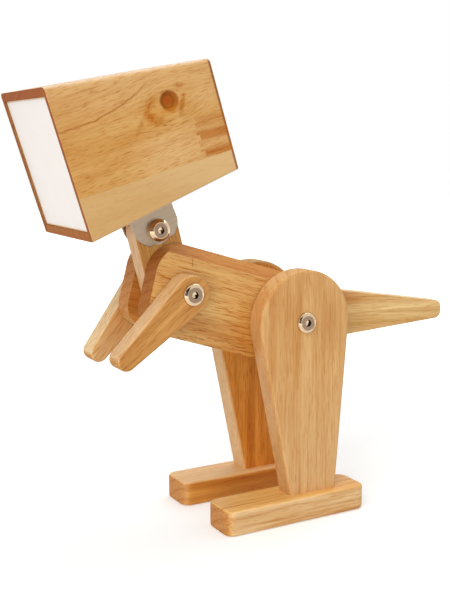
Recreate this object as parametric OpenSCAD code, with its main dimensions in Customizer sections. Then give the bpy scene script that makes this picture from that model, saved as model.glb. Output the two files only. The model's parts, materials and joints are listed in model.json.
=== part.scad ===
// Table lamp in the shape of a dinosaur, of wooden boards that swing on three through bolts.
// It looks towards -X and stands on z = 0, with its left side towards -Y.

/* [Boards] */
// Thickness of the body, arm and leg boards
board_t = 20; // [17:0.5:23]
// Thickness of the washers between boards
washer_t = 1; // [0.6:0.1:1.5]
// Diameter of the washers
washer_d = 24; // [20:1:26]

/* [Body] */
// Height of the hip bolt above the floor
hip_z = 174; // [165:1:185]
// Shoulder bolt ahead of the hip bolt
shoulder_ahead = 107.5; // [102:0.5:115]
// Shoulder bolt above the hip bolt
shoulder_up = 32.3; // [28:0.1:36]
// Radius of the rump
rump_r = 39.5; // [36:0.5:42]
// Centre of the rump below the hip bolt
rump_drop = 1.5; // [0:0.1:4]
// Radius of the corner where the back meets the neck
withers_r = 26; // [23:0.5:28]
// Radius of the chest
chest_r = 20; // [17:0.5:23]
// How far the bevel along the back lowers the outer edge of a panel
back_bevel = 9.5; // [5:0.5:12]
// Width of the flat left along the inner edge of the back
back_land = 1; // [0.6:0.1:3]
// Centre of the withers corner, behind and above the shoulder bolt
withers_offset = [2.7, 11.6]; // [-10:0.1:20]
// Centre of the chest curve, behind and above the shoulder bolt
chest_offset = [-10.6, -16]; // [-20:0.1:10]
// Length and height of the spacer block between the panels
spacer_size = [20, 34]; // [14:1:40]
// Diameter of the dowels of the spacer
dowel_d = 8; // [6:0.5:10]
// Depth of a dowel in each panel
dowel_bite = 10; // [6:0.5:14]

/* [Legs] */
// Radius of the round top of a leg
leg_r = 45; // [42:0.5:48]
// Width of a leg where it meets the foot
ankle_w = 47.5; // [42:0.5:54]
// Middle of the ankle behind the hip bolt
ankle_back = 9; // [4:0.5:14]
// Length of a foot
foot_len = 142; // [132:1:152]
// Width of a foot
foot_w = 38; // [33:0.5:42]
// Height of a foot
foot_h = 22; // [18:0.5:26]
// Radius of the corners of a foot, seen from above
foot_corner_r = 8; // [4:0.5:12]
// Tip of the toes ahead of the hip bolt
toe_ahead = 82; // [75:0.5:88]

/* [Arms] */
// Radius of an arm round the shoulder bolt
arm_r = 15.5; // [13:0.5:18]
// Radius of the hand
hand_r = 8; // [6:0.5:10]
// Shoulder bolt to the middle of the hand
arm_len = 75; // [65:1:85]
// How far the left arm points below the horizontal, in degrees
left_arm_angle = 40; // [35:0.5:50]
// How far the right arm points below the horizontal, in degrees
right_arm_angle = 50; // [42:0.5:58]

/* [Neck] */
// Width of the neck
neck_w = 40; // [36:0.5:42]
// Shoulder bolt to head pivot
neck_len = 50.7; // [50:0.1:58]
// Forward lean of the neck, in degrees
neck_lean = 14; // [8:0.5:18]
// Room between the top of the neck and the bracket above it
web_gap = 3.2; // [2:0.1:5]

/* [Tail] */
// Radius of the tail round the hip bolt
tail_root_r = 28.5; // [25:0.5:31]
// Hip bolt to the end of the tail
tail_len = 187; // [170:1:200]
// Height of the blunt end of the tail
tail_end_h = 18; // [14:0.5:24]
// Radius of the corners of the end
tail_corner_r = 4; // [2:0.5:6]
// How far the tail points below the horizontal, in degrees
tail_angle = 3; // [0:0.5:8]

/* [Head] */
// Length of the head box
head_len = 134.7; // [126:0.1:144]
// Height of its open front
head_front_h = 117.5; // [110:0.5:125]
// Height of its back
head_rear_h = 89; // [84:0.5:96]
// Width of the head box
head_w = 107.4; // [100:0.1:116]
// Head pivot ahead of the back of the head
pivot_ahead = 64.4; // [58:0.1:70]
// Nose-down tilt of the head, in degrees
head_pitch = 17; // [12:0.5:22]
// Thickness of the side panels
side_t = 5; // [4:0.5:7]
// Thickness of the top, bottom and back boards
deck_t = 7; // [6:0.5:9]

/* [Light] */
// Thickness of the diffuser
diffuser_t = 3; // [2:0.5:4]
// Depth of the diffuser behind the front edge
diffuser_inset = 1.5; // [1:0.5:4]
// Gap round the diffuser
diffuser_gap = 0.3; // [0.2:0.1:0.6]
// Section of the strips behind the diffuser
strip_w = 5; // [4:0.5:7]
// Room between the spacers of the LED plate and the battens beside them
stand_gap = 1.7; // [1:0.1:4]
// Height of the LED plate
plate_h = 58; // [50:1:62]
// Thickness of the LED plate
plate_t = 2; // [1.5:0.5:3]
// Length of the spacers that carry the LED plate
stand_len = 26; // [22:1:32]
// Edge of an LED
led_w = 5; // [3.5:0.5:6]
// Thickness of an LED
led_t = 1.2; // [0.8:0.1:2]
// LEDs across and LEDs down
led_grid = [5, 4]; // [2:1:6]
// Diameter of the spacers that carry the LED plate
stand_d = 6; // [5:0.5:8]
// Depth, width and height of the LED driver
driver_size = [18, 18, 34]; // [12:1:40]
// Section of the battens that the back board is screwed to
batten_w = 10; // [8:0.5:12]

/* [Hardware] */
// Diameter of the through bolts
bolt_d = 8; // [6:0.5:10]
// Diameter of the bolt heads and cap nuts
cap_d = 18.4; // [17:0.1:20]
// Thickness of the shoulder and hip bolt heads
cap_h = 3; // [2.5:0.1:4]
// Thickness of the tall caps on the head pivot
tall_cap_h = 6; // [5:0.1:7]
// Width of the hex sockets, across flats
socket_w = 5; // [4:0.5:6]
// Depth of the hex sockets
socket_deep = 2; // [1.5:0.1:2.3]
// Width of the bevel round a cap, as a share of its thickness
bevel_share = 0.38; // [0.2:0.02:0.6]
// Radial clearance of a bolt or pin in its bore
fit = 0.05; // [0.02:0.01:0.08]
// Thickness of the steel bracket
bracket_t = 2; // [1.5:0.1:2.5]
// Width of the bracket along the head
bracket_w = 40; // [36:0.5:46]
// Steel left below the cap of the head bolt
bracket_edge = 0.4; // [0.2:0.1:3]
// Clipped corners of the bracket
bracket_clip = 8; // [4:0.5:10]
// Shank diameter of the wood screws
screw_d = 4; // [3:0.5:5]
// Length of the screws of the feet inside the legs
foot_screw_bite = 24; // [16:1:36]
// Depth of their heads below the sole
foot_screw_sink = 0.6; // [0.4:0.1:2]
// Wood left past the tip of a screw
tip_room = 2; // [1.5:0.1:3]

/* [Switch and inlet] */
// Diameter of the button
button_d = 9; // [8:0.1:10]
// Travel of the button
button_travel = 1.5; // [1:0.1:2]
// How far the pressed button still stands out
button_proud = 0.5; // [0.3:0.1:1]
// Diameter of the switch barrel
barrel_d = 13; // [12.5:0.1:14]
// Depth of the switch inside the head
switch_deep = 8; // [6:0.5:12]
// Bore of the gland that takes the lead
gland_bore_d = 6; // [5:0.1:7]
// Diameter of the gland barrel
gland_d = 10; // [9.5:0.1:11]
// Depth of the gland inside the head
gland_deep = 2; // [1:0.5:4]
// Width and thickness of the rims of the switch and the gland
rim = [2, 1.6]; // [1:0.1:3]
// Switch above the middle of the back board
switch_up = 14; // [11:0.5:18]
// Gland below the middle of the back board
gland_down = 22; // [17:0.5:24]

/* [Hidden] */
$fn = 64;
wood = [0.80, 0.58, 0.34];
dark_wood = [0.70, 0.46, 0.25];
steel = [0.66, 0.65, 0.63];
white = [0.94, 0.93, 0.90];
black = [0.12, 0.12, 0.12];

// Layers of boards, measured out from the middle plane
slot_half = board_t / 2;
mid_half = slot_half - washer_t;
panel_out = slot_half + board_t;
limb_in = panel_out + washer_t;
limb_out = limb_in + board_t;

// Inside and slope of the head box, in its own frame, whose origin is the head pivot and whose
// x axis runs to the back of the head
head_taper = atan((head_front_h - head_rear_h) / 2 / head_len);
head_back = pivot_ahead;
head_front = head_back - head_len;
inner_half_w = head_w / 2 - side_t;
pivot_drop = neck_w / 2 + web_gap + bracket_t;
head_mid_z = pivot_drop / cos(head_taper) + half_h(0);

// Pivots in the x-z plane; the middle of the lamp's length is x = 0
pivot_from_hip = [-shoulder_ahead - neck_len * sin(neck_lean), shoulder_up + neck_len * cos(neck_lean)];
nose_from_hip = pivot_from_hip[0] + turned([head_front, head_mid_z + head_front_h / 2], head_pitch)[0];
hip = [-(nose_from_hip + tail_len) / 2, hip_z];
shoulder = hip + [-shoulder_ahead, shoulder_up];
pivot = hip + pivot_from_hip;

// Circles that the outline of a body panel is stretched round
withers = [shoulder[0] + withers_offset[0], shoulder[1] + withers_offset[1], withers_r];
chest = [shoulder[0] + chest_offset[0], shoulder[1] + chest_offset[1], chest_r];
rump = [hip[0], hip[1] - rump_drop, rump_r];
back_normal = tangent_angle(rump, withers);

// The spacer lies halfway between the round ends of the neck and the tail
spacer_from_shoulder = (neck_w / 2 + gap(shoulder, hip) - tail_root_r) / 2;
spacer_at = shoulder + turned([spacer_from_shoulder, 0], bearing(shoulder, hip));
dowel_len = board_t + 2 * dowel_bite;

// How far a straight side tucks under the curve that it meets
tuck = 0.01;

// Bolts, screws and fittings
tip_d = bolt_d * 0.7;
tip_gap = 1;
overcut = 1;
through_all = 2 * (limb_out + cap_h);
screw_head_d = screw_d * 2;
foot_screw_len = foot_h + foot_screw_bite - foot_screw_sink;
foot_mid = (limb_in + limb_out) / 2;

// Places along the head, in its own frame
back_inner = head_back - deck_t;
diffuser_front = head_front + diffuser_inset;
diffuser_back = diffuser_front + diffuser_t;
plate_front = back_inner - stand_len - plate_t;
stand_y = inner_half_w - batten_w - stand_gap - stand_d / 2;
plate_w = 2 * (stand_y + stand_d);
back_screw_len = deck_t + batten_w - tip_room;
bracket_screw_len = bracket_t + deck_t - tip_room;
switch_z = head_mid_z + switch_up;
gland_z = head_mid_z - gland_down;
button_back = back_inner;
fitting_back = head_back + rim[1];

// Direction and distance from one point to another
function bearing(a, b) = atan2(b[1] - a[1], b[0] - a[0]);
function gap(a, b) = norm([b[0] - a[0], b[1] - a[1]]);
function turned(p, a) = [p[0] * cos(a) - p[1] * sin(a), p[0] * sin(a) + p[1] * cos(a)];

// Point at an angle just inside the rim of a circle [x, z, r], where a straight side ends
function side_end(c, a) = [c[0], c[1]] + (c[2] - tuck) * [cos(a), sin(a)];

// Angle of the outer tangent from circle a to circle b, going anticlockwise round both
function tangent_angle(a, b) = bearing(a, b) - acos((a[2] - b[2]) / gap(a, b));

// Half the height of the head box, outside, at a place along it
function half_h(x) = head_rear_h / 2 + (head_back - x) * tan(head_taper);

// Half the height of the room inside the head
function room_half(x) = half_h(x) - deck_t / cos(head_taper);

// Outline stretched round a list of circles that go anticlockwise
module belt(circles) {
    n = len(circles);
    for (c = circles) {
        translate([c[0], c[1]])
            circle(r = c[2]);
    }
    polygon([
        for (i = [0:n - 1])
            let (a = circles[i], b = circles[(i + 1) % n], t = tangent_angle(a, b))
            each [side_end(a, t), side_end(b, t)]
    ]);
}

// Board with its outline in the x-z plane, between two places across the lamp
module slab(y_lo, y_hi) {
    translate([0, y_hi, 0])
        rotate([90, 0, 0])
            linear_extrude(y_hi - y_lo)
                children();
}

// Round rod across the lamp at a point of the x-z plane
module rod(at, d, y_lo, y_hi) {
    translate([at[0], y_hi, at[1]])
        rotate([90, 0, 0])
            cylinder(d = d, h = y_hi - y_lo);
}

// Bore for a through bolt
module bolt_bore(at) {
    rod(at, bolt_d + 2 * fit, -through_all / 2, through_all / 2);
}

// Frame of the head, at its pivot and tilted nose down
module in_head() {
    translate([pivot[0], 0, pivot[1]])
        rotate([0, -head_pitch, 0])
            children();
}

// Frame of the bracket, which lies along the slope of the head's underside
module in_bracket() {
    in_head()
        rotate([0, -head_taper, 0])
            children();
}

// Rod along the head, from one place to another
module head_rod(y, z, d, x_lo, x_hi) {
    translate([x_lo, y, z])
        rotate([0, 90, 0])
            cylinder(d = d, h = x_hi - x_lo);
}

// Countersunk screw that points along +Z, its head flush with z = 0
module wood_screw(length) {
    cylinder(d1 = screw_head_d, d2 = screw_d, h = screw_d / 2);
    cylinder(d = screw_d, h = length);
}

// Hole of a wood screw, with room round it and past its tip
module screw_hole(length) {
    hole_d = screw_d + 2 * fit;
    mouth_d = screw_head_d + 2 * fit;
    translate([0, 0, -overcut])
        cylinder(d = mouth_d, h = overcut);
    cylinder(d1 = mouth_d, d2 = hole_d, h = screw_d / 2);
    cylinder(d = hole_d, h = length + tip_gap);
}

// Round cap with a bevelled rim and a hex socket, whose face looks along +Z from z = 0
module cap(h) {
    bevel = h * bevel_share;
    difference() {
        union() {
            cylinder(d = cap_d, h = h - bevel);
            translate([0, 0, h - bevel])
                cylinder(d1 = cap_d, d2 = cap_d - 2 * bevel, h = bevel);
        }
        translate([0, 0, h - socket_deep])
            cylinder(d = socket_w / cos(30), h = socket_deep + overcut, $fn = 6);
    }
}

// Through bolt with its head on the left side and a thinner tip for the nut
module through_bolt(at, reach, h) {
    rod(at, bolt_d, -reach, reach / 2);
    rod(at, tip_d, 0, reach - tip_gap - overcut);
    translate([at[0], -reach, at[1]])
        rotate([90, 0, 0])
            cap(h);
}

// Sleeve nut on the right side, whose barrel takes the tip of the bolt
module sleeve_nut(at, reach, h) {
    difference() {
        union() {
            rod(at, bolt_d, reach / 2, reach);
            translate([at[0], reach, at[1]])
                rotate([-90, 0, 0])
                    cap(h);
        }
        rod(at, tip_d + 2 * fit, reach / 2 - overcut, reach - tip_gap);
    }
}

// Pair of washers, left and right, that start at a distance from the middle plane
module washer_pair(at, inner) {
    for (side = [-1, 1]) {
        middle = side * (inner + washer_t / 2);
        difference() {
            rod(at, washer_d, middle - washer_t / 2, middle + washer_t / 2);
            bolt_bore(at);
        }
    }
}

// Left body panel, with the bevel along its back
module body_panel() {
    top_in = side_end(rump, back_normal);
    bevel_angle = atan(back_bevel / (board_t - back_land));
    long = shoulder_ahead + leg_r + withers_r;
    difference() {
        slab(-panel_out, -slot_half)
            belt([rump, withers, chest]);
        bolt_bore(shoulder);
        bolt_bore(hip);
        spacer_pins(dowel_d + 2 * fit, dowel_len + tip_gap);
        translate([top_in[0], -slot_half - back_land, top_in[1]])
            rotate([0, 90 - back_normal, 0])
                rotate([bevel_angle, 0, 0])
                    translate([-long, -2 * board_t, 0])
                        cube([2 * long, 3 * board_t, long]);
    }
}

module left_body_panel() {
    color(wood)
        body_panel();
}

module right_body_panel() {
    color(wood)
        mirror([0, 1, 0])
            body_panel();
}

// The two dowels of the spacer, or their holes
module spacer_pins(d, length) {
    for (side = [-1, 1]) {
        rod(spacer_at + [0, side * spacer_size[1] / 4], d, -length / 2, length / 2);
    }
}

module body_spacer() {
    color(dark_wood)
        difference() {
            slab(-slot_half, slot_half)
                translate(spacer_at)
                    square(spacer_size, center = true);
            spacer_pins(dowel_d + 2 * fit, dowel_len);
        }
}

module spacer_dowels() {
    color(wood)
        spacer_pins(dowel_d, dowel_len);
}

module shoulder_bolt() {
    color(steel)
        through_bolt(shoulder, limb_out, cap_h);
}

module shoulder_nut() {
    color(steel)
        sleeve_nut(shoulder, limb_out, cap_h);
}

module hip_bolt() {
    color(steel)
        through_bolt(hip, limb_out, cap_h);
}

module hip_nut() {
    color(steel)
        sleeve_nut(hip, limb_out, cap_h);
}

module arm_washers() {
    color(white)
        washer_pair(shoulder, panel_out);
}

module neck_washers() {
    color(white)
        washer_pair(shoulder, mid_half);
}

module leg_washers() {
    color(white)
        washer_pair(hip, panel_out);
}

module tail_washers() {
    color(white)
        washer_pair(hip, mid_half);
}

// Places of the two screws that hold a leg to its foot
function foot_screw_x(side) = hip[0] + ankle_back + side * ankle_w / 4;

module left_leg_shape() {
    front = [hip[0] + ankle_back - ankle_w / 2, foot_h];
    rear = [hip[0] + ankle_back + ankle_w / 2, foot_h];
    front_turn = bearing(hip, front) - acos(leg_r / gap(hip, front));
    rear_turn = bearing(hip, rear) + acos(leg_r / gap(hip, rear));
    round_top = [hip[0], hip[1], leg_r];
    difference() {
        slab(-limb_out, -limb_in) {
            translate(hip)
                circle(r = leg_r);
            polygon([front, rear, side_end(round_top, rear_turn), hip, side_end(round_top, front_turn)]);
        }
        bolt_bore(hip);
        foot_screw_holes();
    }
}

// Holes of the screws that come up through the foot
module foot_screw_holes() {
    for (side = [-1, 1]) {
        translate([foot_screw_x(side), -foot_mid, foot_screw_sink])
            screw_hole(foot_screw_len);
    }
}

module left_foot_shape() {
    mid_y = -foot_mid;
    toe = hip[0] - toe_ahead + foot_corner_r;
    heel = hip[0] - toe_ahead + foot_len - foot_corner_r;
    side = foot_w / 2 - foot_corner_r;
    difference() {
        linear_extrude(foot_h)
            belt([
                [toe, mid_y - side, foot_corner_r],
                [heel, mid_y - side, foot_corner_r],
                [heel, mid_y + side, foot_corner_r],
                [toe, mid_y + side, foot_corner_r]
            ]);
        foot_screw_holes();
    }
}

module left_foot_screws_shape() {
    for (side = [-1, 1]) {
        translate([foot_screw_x(side), -foot_mid, foot_screw_sink])
            wood_screw(foot_screw_len);
    }
}

module left_leg() {
    color(wood)
        left_leg_shape();
}

module right_leg() {
    color(wood)
        mirror([0, 1, 0])
            left_leg_shape();
}

module left_foot() {
    color(wood)
        left_foot_shape();
}

module right_foot() {
    color(wood)
        mirror([0, 1, 0])
            left_foot_shape();
}

module left_foot_screws() {
    color(steel)
        left_foot_screws_shape();
}

module right_foot_screws() {
    color(steel)
        mirror([0, 1, 0])
            left_foot_screws_shape();
}

// Arm on the left side that points below the horizontal by an angle
module arm(angle) {
    hand = shoulder - arm_len * [cos(angle), sin(angle)];
    difference() {
        slab(-limb_out, -limb_in)
            belt([[shoulder[0], shoulder[1], arm_r], [hand[0], hand[1], hand_r]]);
        bolt_bore(shoulder);
    }
}

module left_arm() {
    color(wood)
        arm(left_arm_angle);
}

module right_arm() {
    color(wood)
        mirror([0, 1, 0])
            arm(right_arm_angle);
}

module neck_board() {
    r = neck_w / 2;
    color(wood)
        difference() {
            slab(-mid_half, mid_half)
                belt([[shoulder[0], shoulder[1], r], [pivot[0], pivot[1], r]]);
            bolt_bore(shoulder);
            bolt_bore(pivot);
        }
}

module head_washers() {
    color(white)
        washer_pair(pivot, mid_half);
}

module tail_board() {
    end_half = tail_end_h / 2 - tail_corner_r;
    reach = tail_len - tail_corner_r;
    low = hip + turned([reach, -end_half], -tail_angle);
    high = hip + turned([reach, end_half], -tail_angle);
    color(wood)
        difference() {
            slab(-mid_half, mid_half)
                belt([
                    [hip[0], hip[1], tail_root_r],
                    [low[0], low[1], tail_corner_r],
                    [high[0], high[1], tail_corner_r]
                ]);
            bolt_bore(hip);
        }
}

// Side view of the head box, in the frame of the head
module head_outline() {
    polygon([
        [head_front, head_mid_z - head_front_h / 2],
        [head_back, head_mid_z - head_rear_h / 2],
        [head_back, head_mid_z + head_rear_h / 2],
        [head_front, head_mid_z + head_front_h / 2]
    ]);
}

// Room inside the head between two places along it, less a margin above and below
module head_room(x_lo, x_hi, margin) {
    polygon([
        [x_lo, head_mid_z - room_half(x_lo) + margin],
        [x_hi, head_mid_z - room_half(x_hi) + margin],
        [x_hi, head_mid_z + room_half(x_hi) - margin],
        [x_lo, head_mid_z + room_half(x_lo) - margin]
    ]);
}

module head_left_panel() {
    color(wood)
        in_head()
            slab(-head_w / 2, -inner_half_w)
                head_outline();
}

module head_right_panel() {
    color(wood)
        in_head()
            slab(inner_half_w, head_w / 2)
                head_outline();
}

module head_top_board() {
    color(wood)
        in_head()
            slab(-inner_half_w, inner_half_w)
                polygon([
                    [head_front, head_mid_z + room_half(head_front)],
                    [head_back, head_mid_z + room_half(head_back)],
                    [head_back, head_mid_z + half_h(head_back)],
                    [head_front, head_mid_z + half_h(head_front)]
                ]);
}

// Places of the four bracket screws, in the frame of the bracket
module at_bracket_screws() {
    for (along = [-1, 1], across = [-1, 1]) {
        translate([along * (bracket_w / 2 - screw_head_d), across * slot_half / 2, pivot_drop - bracket_t])
            children();
    }
}

module head_bottom_board() {
    color(wood)
        difference() {
            in_head()
                slab(-inner_half_w, inner_half_w)
                    polygon([
                        [head_front, head_mid_z - half_h(head_front)],
                        [head_back, head_mid_z - half_h(head_back)],
                        [head_back, head_mid_z - room_half(head_back)],
                        [head_front, head_mid_z - room_half(head_front)]
                    ]);
            in_bracket()
                at_bracket_screws()
                    screw_hole(bracket_screw_len);
        }
}

// Places of the four screws of the back board
module at_back_screws() {
    for (y = [-1, 1], z = [-1, 1]) {
        translate([head_back, y * (inner_half_w - batten_w / 2), head_mid_z + z * head_rear_h / 4])
            rotate([0, -90, 0])
                children();
    }
}

module head_back_board() {
    color(wood)
        in_head()
            difference() {
                slab(-inner_half_w, inner_half_w)
                    head_room(back_inner, head_back, 0);
                head_rod(0, switch_z, barrel_d + 2 * fit, back_inner - overcut, head_back + overcut);
                head_rod(0, gland_z, gland_d + 2 * fit, back_inner - overcut, head_back + overcut);
                at_back_screws()
                    screw_hole(back_screw_len);
            }
}

module back_battens() {
    color(dark_wood)
        in_head()
            difference() {
                for (side = [-1, 1]) {
                    middle = side * (inner_half_w - batten_w / 2);
                    slab(middle - batten_w / 2, middle + batten_w / 2)
                        head_room(back_inner - batten_w, back_inner, 0);
                }
                at_back_screws()
                    screw_hole(back_screw_len);
            }
}

module back_screws() {
    color(steel)
        in_head()
            at_back_screws()
                wood_screw(back_screw_len);
}

// Four strips behind the diffuser: two upright ones and two between them
module diffuser_frame() {
    x_hi = diffuser_back + strip_w;
    upright = inner_half_w - strip_w;
    low = room_half(x_hi) - strip_w;
    color(dark_wood)
        in_head() {
            for (side = [-1, 1]) {
                middle = side * (inner_half_w - strip_w / 2);
                slab(middle - strip_w / 2, middle + strip_w / 2)
                    head_room(diffuser_back, x_hi, 0);
            }
            difference() {
                slab(-upright, upright)
                    head_room(diffuser_back, x_hi, 0);
                translate([diffuser_back - overcut, -upright - overcut, head_mid_z - low])
                    cube([strip_w + 2 * overcut, 2 * (upright + overcut), 2 * low]);
            }
        }
}

module light_diffuser() {
    half = room_half(diffuser_back) - diffuser_gap;
    half_w = inner_half_w - diffuser_gap;
    color(white)
        in_head()
            translate([diffuser_front, -half_w, head_mid_z - half])
                cube([diffuser_t, 2 * half_w, 2 * half]);
}

// Places of the four spacers of the LED plate
module at_spacers() {
    for (y = [-1, 1], z = [-1, 1]) {
        translate([0, y * stand_y, head_mid_z + z * (plate_h / 2 - stand_d)])
            children();
    }
}

module led_plate() {
    color(steel)
        in_head()
            translate([plate_front, -plate_w / 2, head_mid_z - plate_h / 2])
                cube([plate_t, plate_w, plate_h]);
}

module leds() {
    pitch = [plate_w / (led_grid[0] + 1), plate_h / (led_grid[1] + 1)];
    color(white)
        in_head()
            for (i = [1:led_grid[0]], j = [1:led_grid[1]]) {
                y = i * pitch[0] - plate_w / 2;
                z = head_mid_z + j * pitch[1] - plate_h / 2;
                translate([plate_front - led_t / 2, y, z])
                    cube([led_t, led_w, led_w], center = true);
            }
}

module plate_spacers() {
    color(steel)
        in_head()
            at_spacers()
                head_rod(0, 0, stand_d, plate_front + plate_t, back_inner);
}

module led_driver() {
    beside_switch = -barrel_d / 2 - rim[0] - driver_size[1];
    color(black)
        in_head()
            translate([back_inner - driver_size[0], beside_switch, head_mid_z - driver_size[2] / 2])
                cube(driver_size);
}

module head_bracket() {
    low = -cap_d / 2 - bracket_edge;
    top = pivot_drop;
    half = bracket_w / 2;
    color(steel)
        difference() {
            in_bracket() {
                for (side = [-1, 1]) {
                    middle = side * (slot_half + bracket_t / 2);
                    slab(middle - bracket_t / 2, middle + bracket_t / 2)
                        polygon([
                            [-half, top],
                            [-half, low + bracket_clip],
                            [bracket_clip - half, low],
                            [half - bracket_clip, low],
                            [half, low + bracket_clip],
                            [half, top]
                        ]);
                }
                translate([-half, -slot_half - bracket_t, top - bracket_t])
                    cube([bracket_w, 2 * (slot_half + bracket_t), bracket_t]);
            }
            bolt_bore(pivot);
            in_bracket()
                at_bracket_screws()
                    screw_hole(bracket_screw_len);
        }
}

module bracket_screws() {
    color(steel)
        in_bracket()
            at_bracket_screws()
                wood_screw(bracket_screw_len);
}

module head_bolt() {
    color(steel)
        through_bolt(pivot, slot_half + bracket_t, tall_cap_h);
}

module head_nut() {
    color(steel)
        sleeve_nut(pivot, slot_half + bracket_t, tall_cap_h);
}

// Barrel through the back board, with a rim outside
module barrel(z, d, inside) {
    head_rod(0, z, d, back_inner - inside, head_back);
    head_rod(0, z, d + 2 * rim[0], head_back, fitting_back);
}

// Switch, with a blind bore for the button
module switch_body() {
    blind_end = button_back - button_travel - tip_gap;
    color(black)
        in_head()
            difference() {
                barrel(switch_z, barrel_d, switch_deep);
                head_rod(0, switch_z, button_d + 2 * fit, blind_end, fitting_back + overcut);
            }
}

module switch_button() {
    color(black)
        in_head()
            head_rod(0, switch_z, button_d, button_back, fitting_back + button_travel + button_proud);
}

// Gland of the lead
module lead_gland() {
    color(black)
        in_head()
            difference() {
                barrel(gland_z, gland_d, gland_deep);
                head_rod(0, gland_z, gland_bore_d, back_inner - gland_deep - overcut, fitting_back + overcut);
            }
}

left_body_panel();
right_body_panel();
body_spacer();
spacer_dowels();
shoulder_bolt();
shoulder_nut();
hip_bolt();
hip_nut();
arm_washers();
neck_washers();
leg_washers();
tail_washers();
left_leg();
left_foot();
left_foot_screws();
right_leg();
right_foot();
right_foot_screws();
left_arm();
right_arm();
neck_board();
head_washers();
tail_board();
head_left_panel();
head_right_panel();
head_top_board();
head_bottom_board();
head_back_board();
back_battens();
back_screws();
diffuser_frame();
light_diffuser();
led_plate();
leds();
plate_spacers();
led_driver();
head_bracket();
bracket_screws();
head_bolt();
head_nut();
switch_body();
switch_button();
lead_gland();
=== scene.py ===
# %% [markdown]
# This lesson dresses a table lamp in the shape of a standing dinosaur. The real one is cut from
# rubberwood boards that swing on three through bolts, and its box head holds a white light panel.
# The solids of the lamp are loaded first, so that every piece made here has a place to go.

# %% Load the solids
import json
import math

import bmesh
import bpy
from mathutils import Matrix, Vector


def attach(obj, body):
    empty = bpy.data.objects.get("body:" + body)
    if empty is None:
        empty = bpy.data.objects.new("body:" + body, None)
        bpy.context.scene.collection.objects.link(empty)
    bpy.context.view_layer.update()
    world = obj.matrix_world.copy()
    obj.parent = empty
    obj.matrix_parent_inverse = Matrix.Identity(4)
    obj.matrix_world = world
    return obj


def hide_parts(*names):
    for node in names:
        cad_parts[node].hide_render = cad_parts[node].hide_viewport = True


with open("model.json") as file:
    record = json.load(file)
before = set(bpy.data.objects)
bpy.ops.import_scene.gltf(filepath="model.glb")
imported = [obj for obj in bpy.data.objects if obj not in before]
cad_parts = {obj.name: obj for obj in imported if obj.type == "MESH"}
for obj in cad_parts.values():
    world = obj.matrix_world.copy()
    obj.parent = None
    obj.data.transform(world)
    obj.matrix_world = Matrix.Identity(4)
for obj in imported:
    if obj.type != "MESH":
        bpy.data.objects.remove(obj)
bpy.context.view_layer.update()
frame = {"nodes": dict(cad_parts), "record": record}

# %% [markdown]
# The photograph was taken from the lamp's left, a little in front of it and above its back. A
# camera in Blender has the same view when its place, its turn and its lens agree with the
# photograph. The lens is given for a 36 mm sensor along the longer side of the picture, and a small
# shift does what cropping the picture did.

# %% Set up the camera
MM = 0.001
CAMERA_PLACE, LOOK_DOWN, LOOK_RIGHT = (-434.9, -735.0, 324.1), 9.04, 29.88
camera = bpy.data.objects.new("camera", bpy.data.cameras.new("camera"))
camera.data.sensor_width = 36
camera.data.lens = 58.56
camera.data.shift_x = -0.0313
camera.location = Vector(CAMERA_PLACE) * MM
camera.rotation_euler = (math.radians(90 - LOOK_DOWN), 0, math.radians(-LOOK_RIGHT))
bpy.context.scene.collection.objects.link(camera)
bpy.context.scene.camera = camera
print("camera at", tuple(camera.location))

# %% [markdown]
# Colours are written as the hex values that a paint program shows, and shaders work with linear
# light, so one function changes them over. Materials are nodes with links, and small functions add
# the kinds of nodes that come up most. The last two start a new material, and turn a mesh with its
# materials into an object.

# %% Helpers for materials
def linear(hex_code):
    """The linear colour of an sRGB hex value."""
    shares = [int(hex_code[i:i + 2], 16) / 255 for i in (1, 3, 5)]
    return (*[c / 12.92 if c <= 0.04045 else ((c + 0.055) / 1.055) ** 2.4 for c in shares], 1.0)


def feed(tree, node, inputs):
    """Give the inputs of a node their values or links."""
    for name, value in inputs.items():
        if isinstance(value, bpy.types.NodeSocket):
            tree.links.new(value, node.inputs[name])
        else:
            node.inputs[name].default_value = value


def add(tree, kind, inputs=None, **settings):
    """Add a node, with its settings and with values or links for its inputs."""
    node = tree.nodes.new("ShaderNode" + kind)
    for name, value in settings.items():
        setattr(node, name, value)
    feed(tree, node, inputs or {})
    return node


def calc(tree, operation, *values):
    """Result of a sum with values or links."""
    return add(tree, "Math", dict(enumerate(values)), operation=operation).outputs[0]


def off(tree, value, middle):
    """How far a value is from another."""
    return calc(tree, "ABSOLUTE", calc(tree, "SUBTRACT", value, middle))


def places(tree, vector):
    """The three parts of a vector: on a board, how far along, out and up a point is."""
    return add(tree, "SeparateXYZ", {0: vector}).outputs[:]


def stretched(tree, where, sizes, detail=2.0):
    """Noise with a size along each axis."""
    place = add(tree, "Mapping", {"Vector": where, "Scale": [1 / size for size in sizes]}).outputs[0]
    return add(tree, "TexNoise", {"Vector": place, "Scale": 1.0, "Detail": detail}).outputs[0]


def ramp(tree, value, start, end, high=1.0, low=0.0):
    """Result that goes from low to high while a value goes from start to end, and stays there."""
    return add(tree, "MapRange", {"Value": value, "From Min": start, "From Max": end, "To Min": low,
                                  "To Max": high}).outputs[0]


def blend(tree, share, one, other, **settings):
    """Colour between two others, which are links or hex values."""
    one, other = [linear(tone) if isinstance(tone, str) else tone for tone in (one, other)]
    return add(tree, "Mix", {0: share, 6: one, 7: other}, data_type="RGBA", **settings).outputs[2]


def new_finish(name):
    """A material with its node tree and its main shader."""
    finish = bpy.data.materials.new(name)
    finish.use_nodes = True
    return finish, finish.node_tree, finish.node_tree.nodes["Principled BSDF"]


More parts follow.
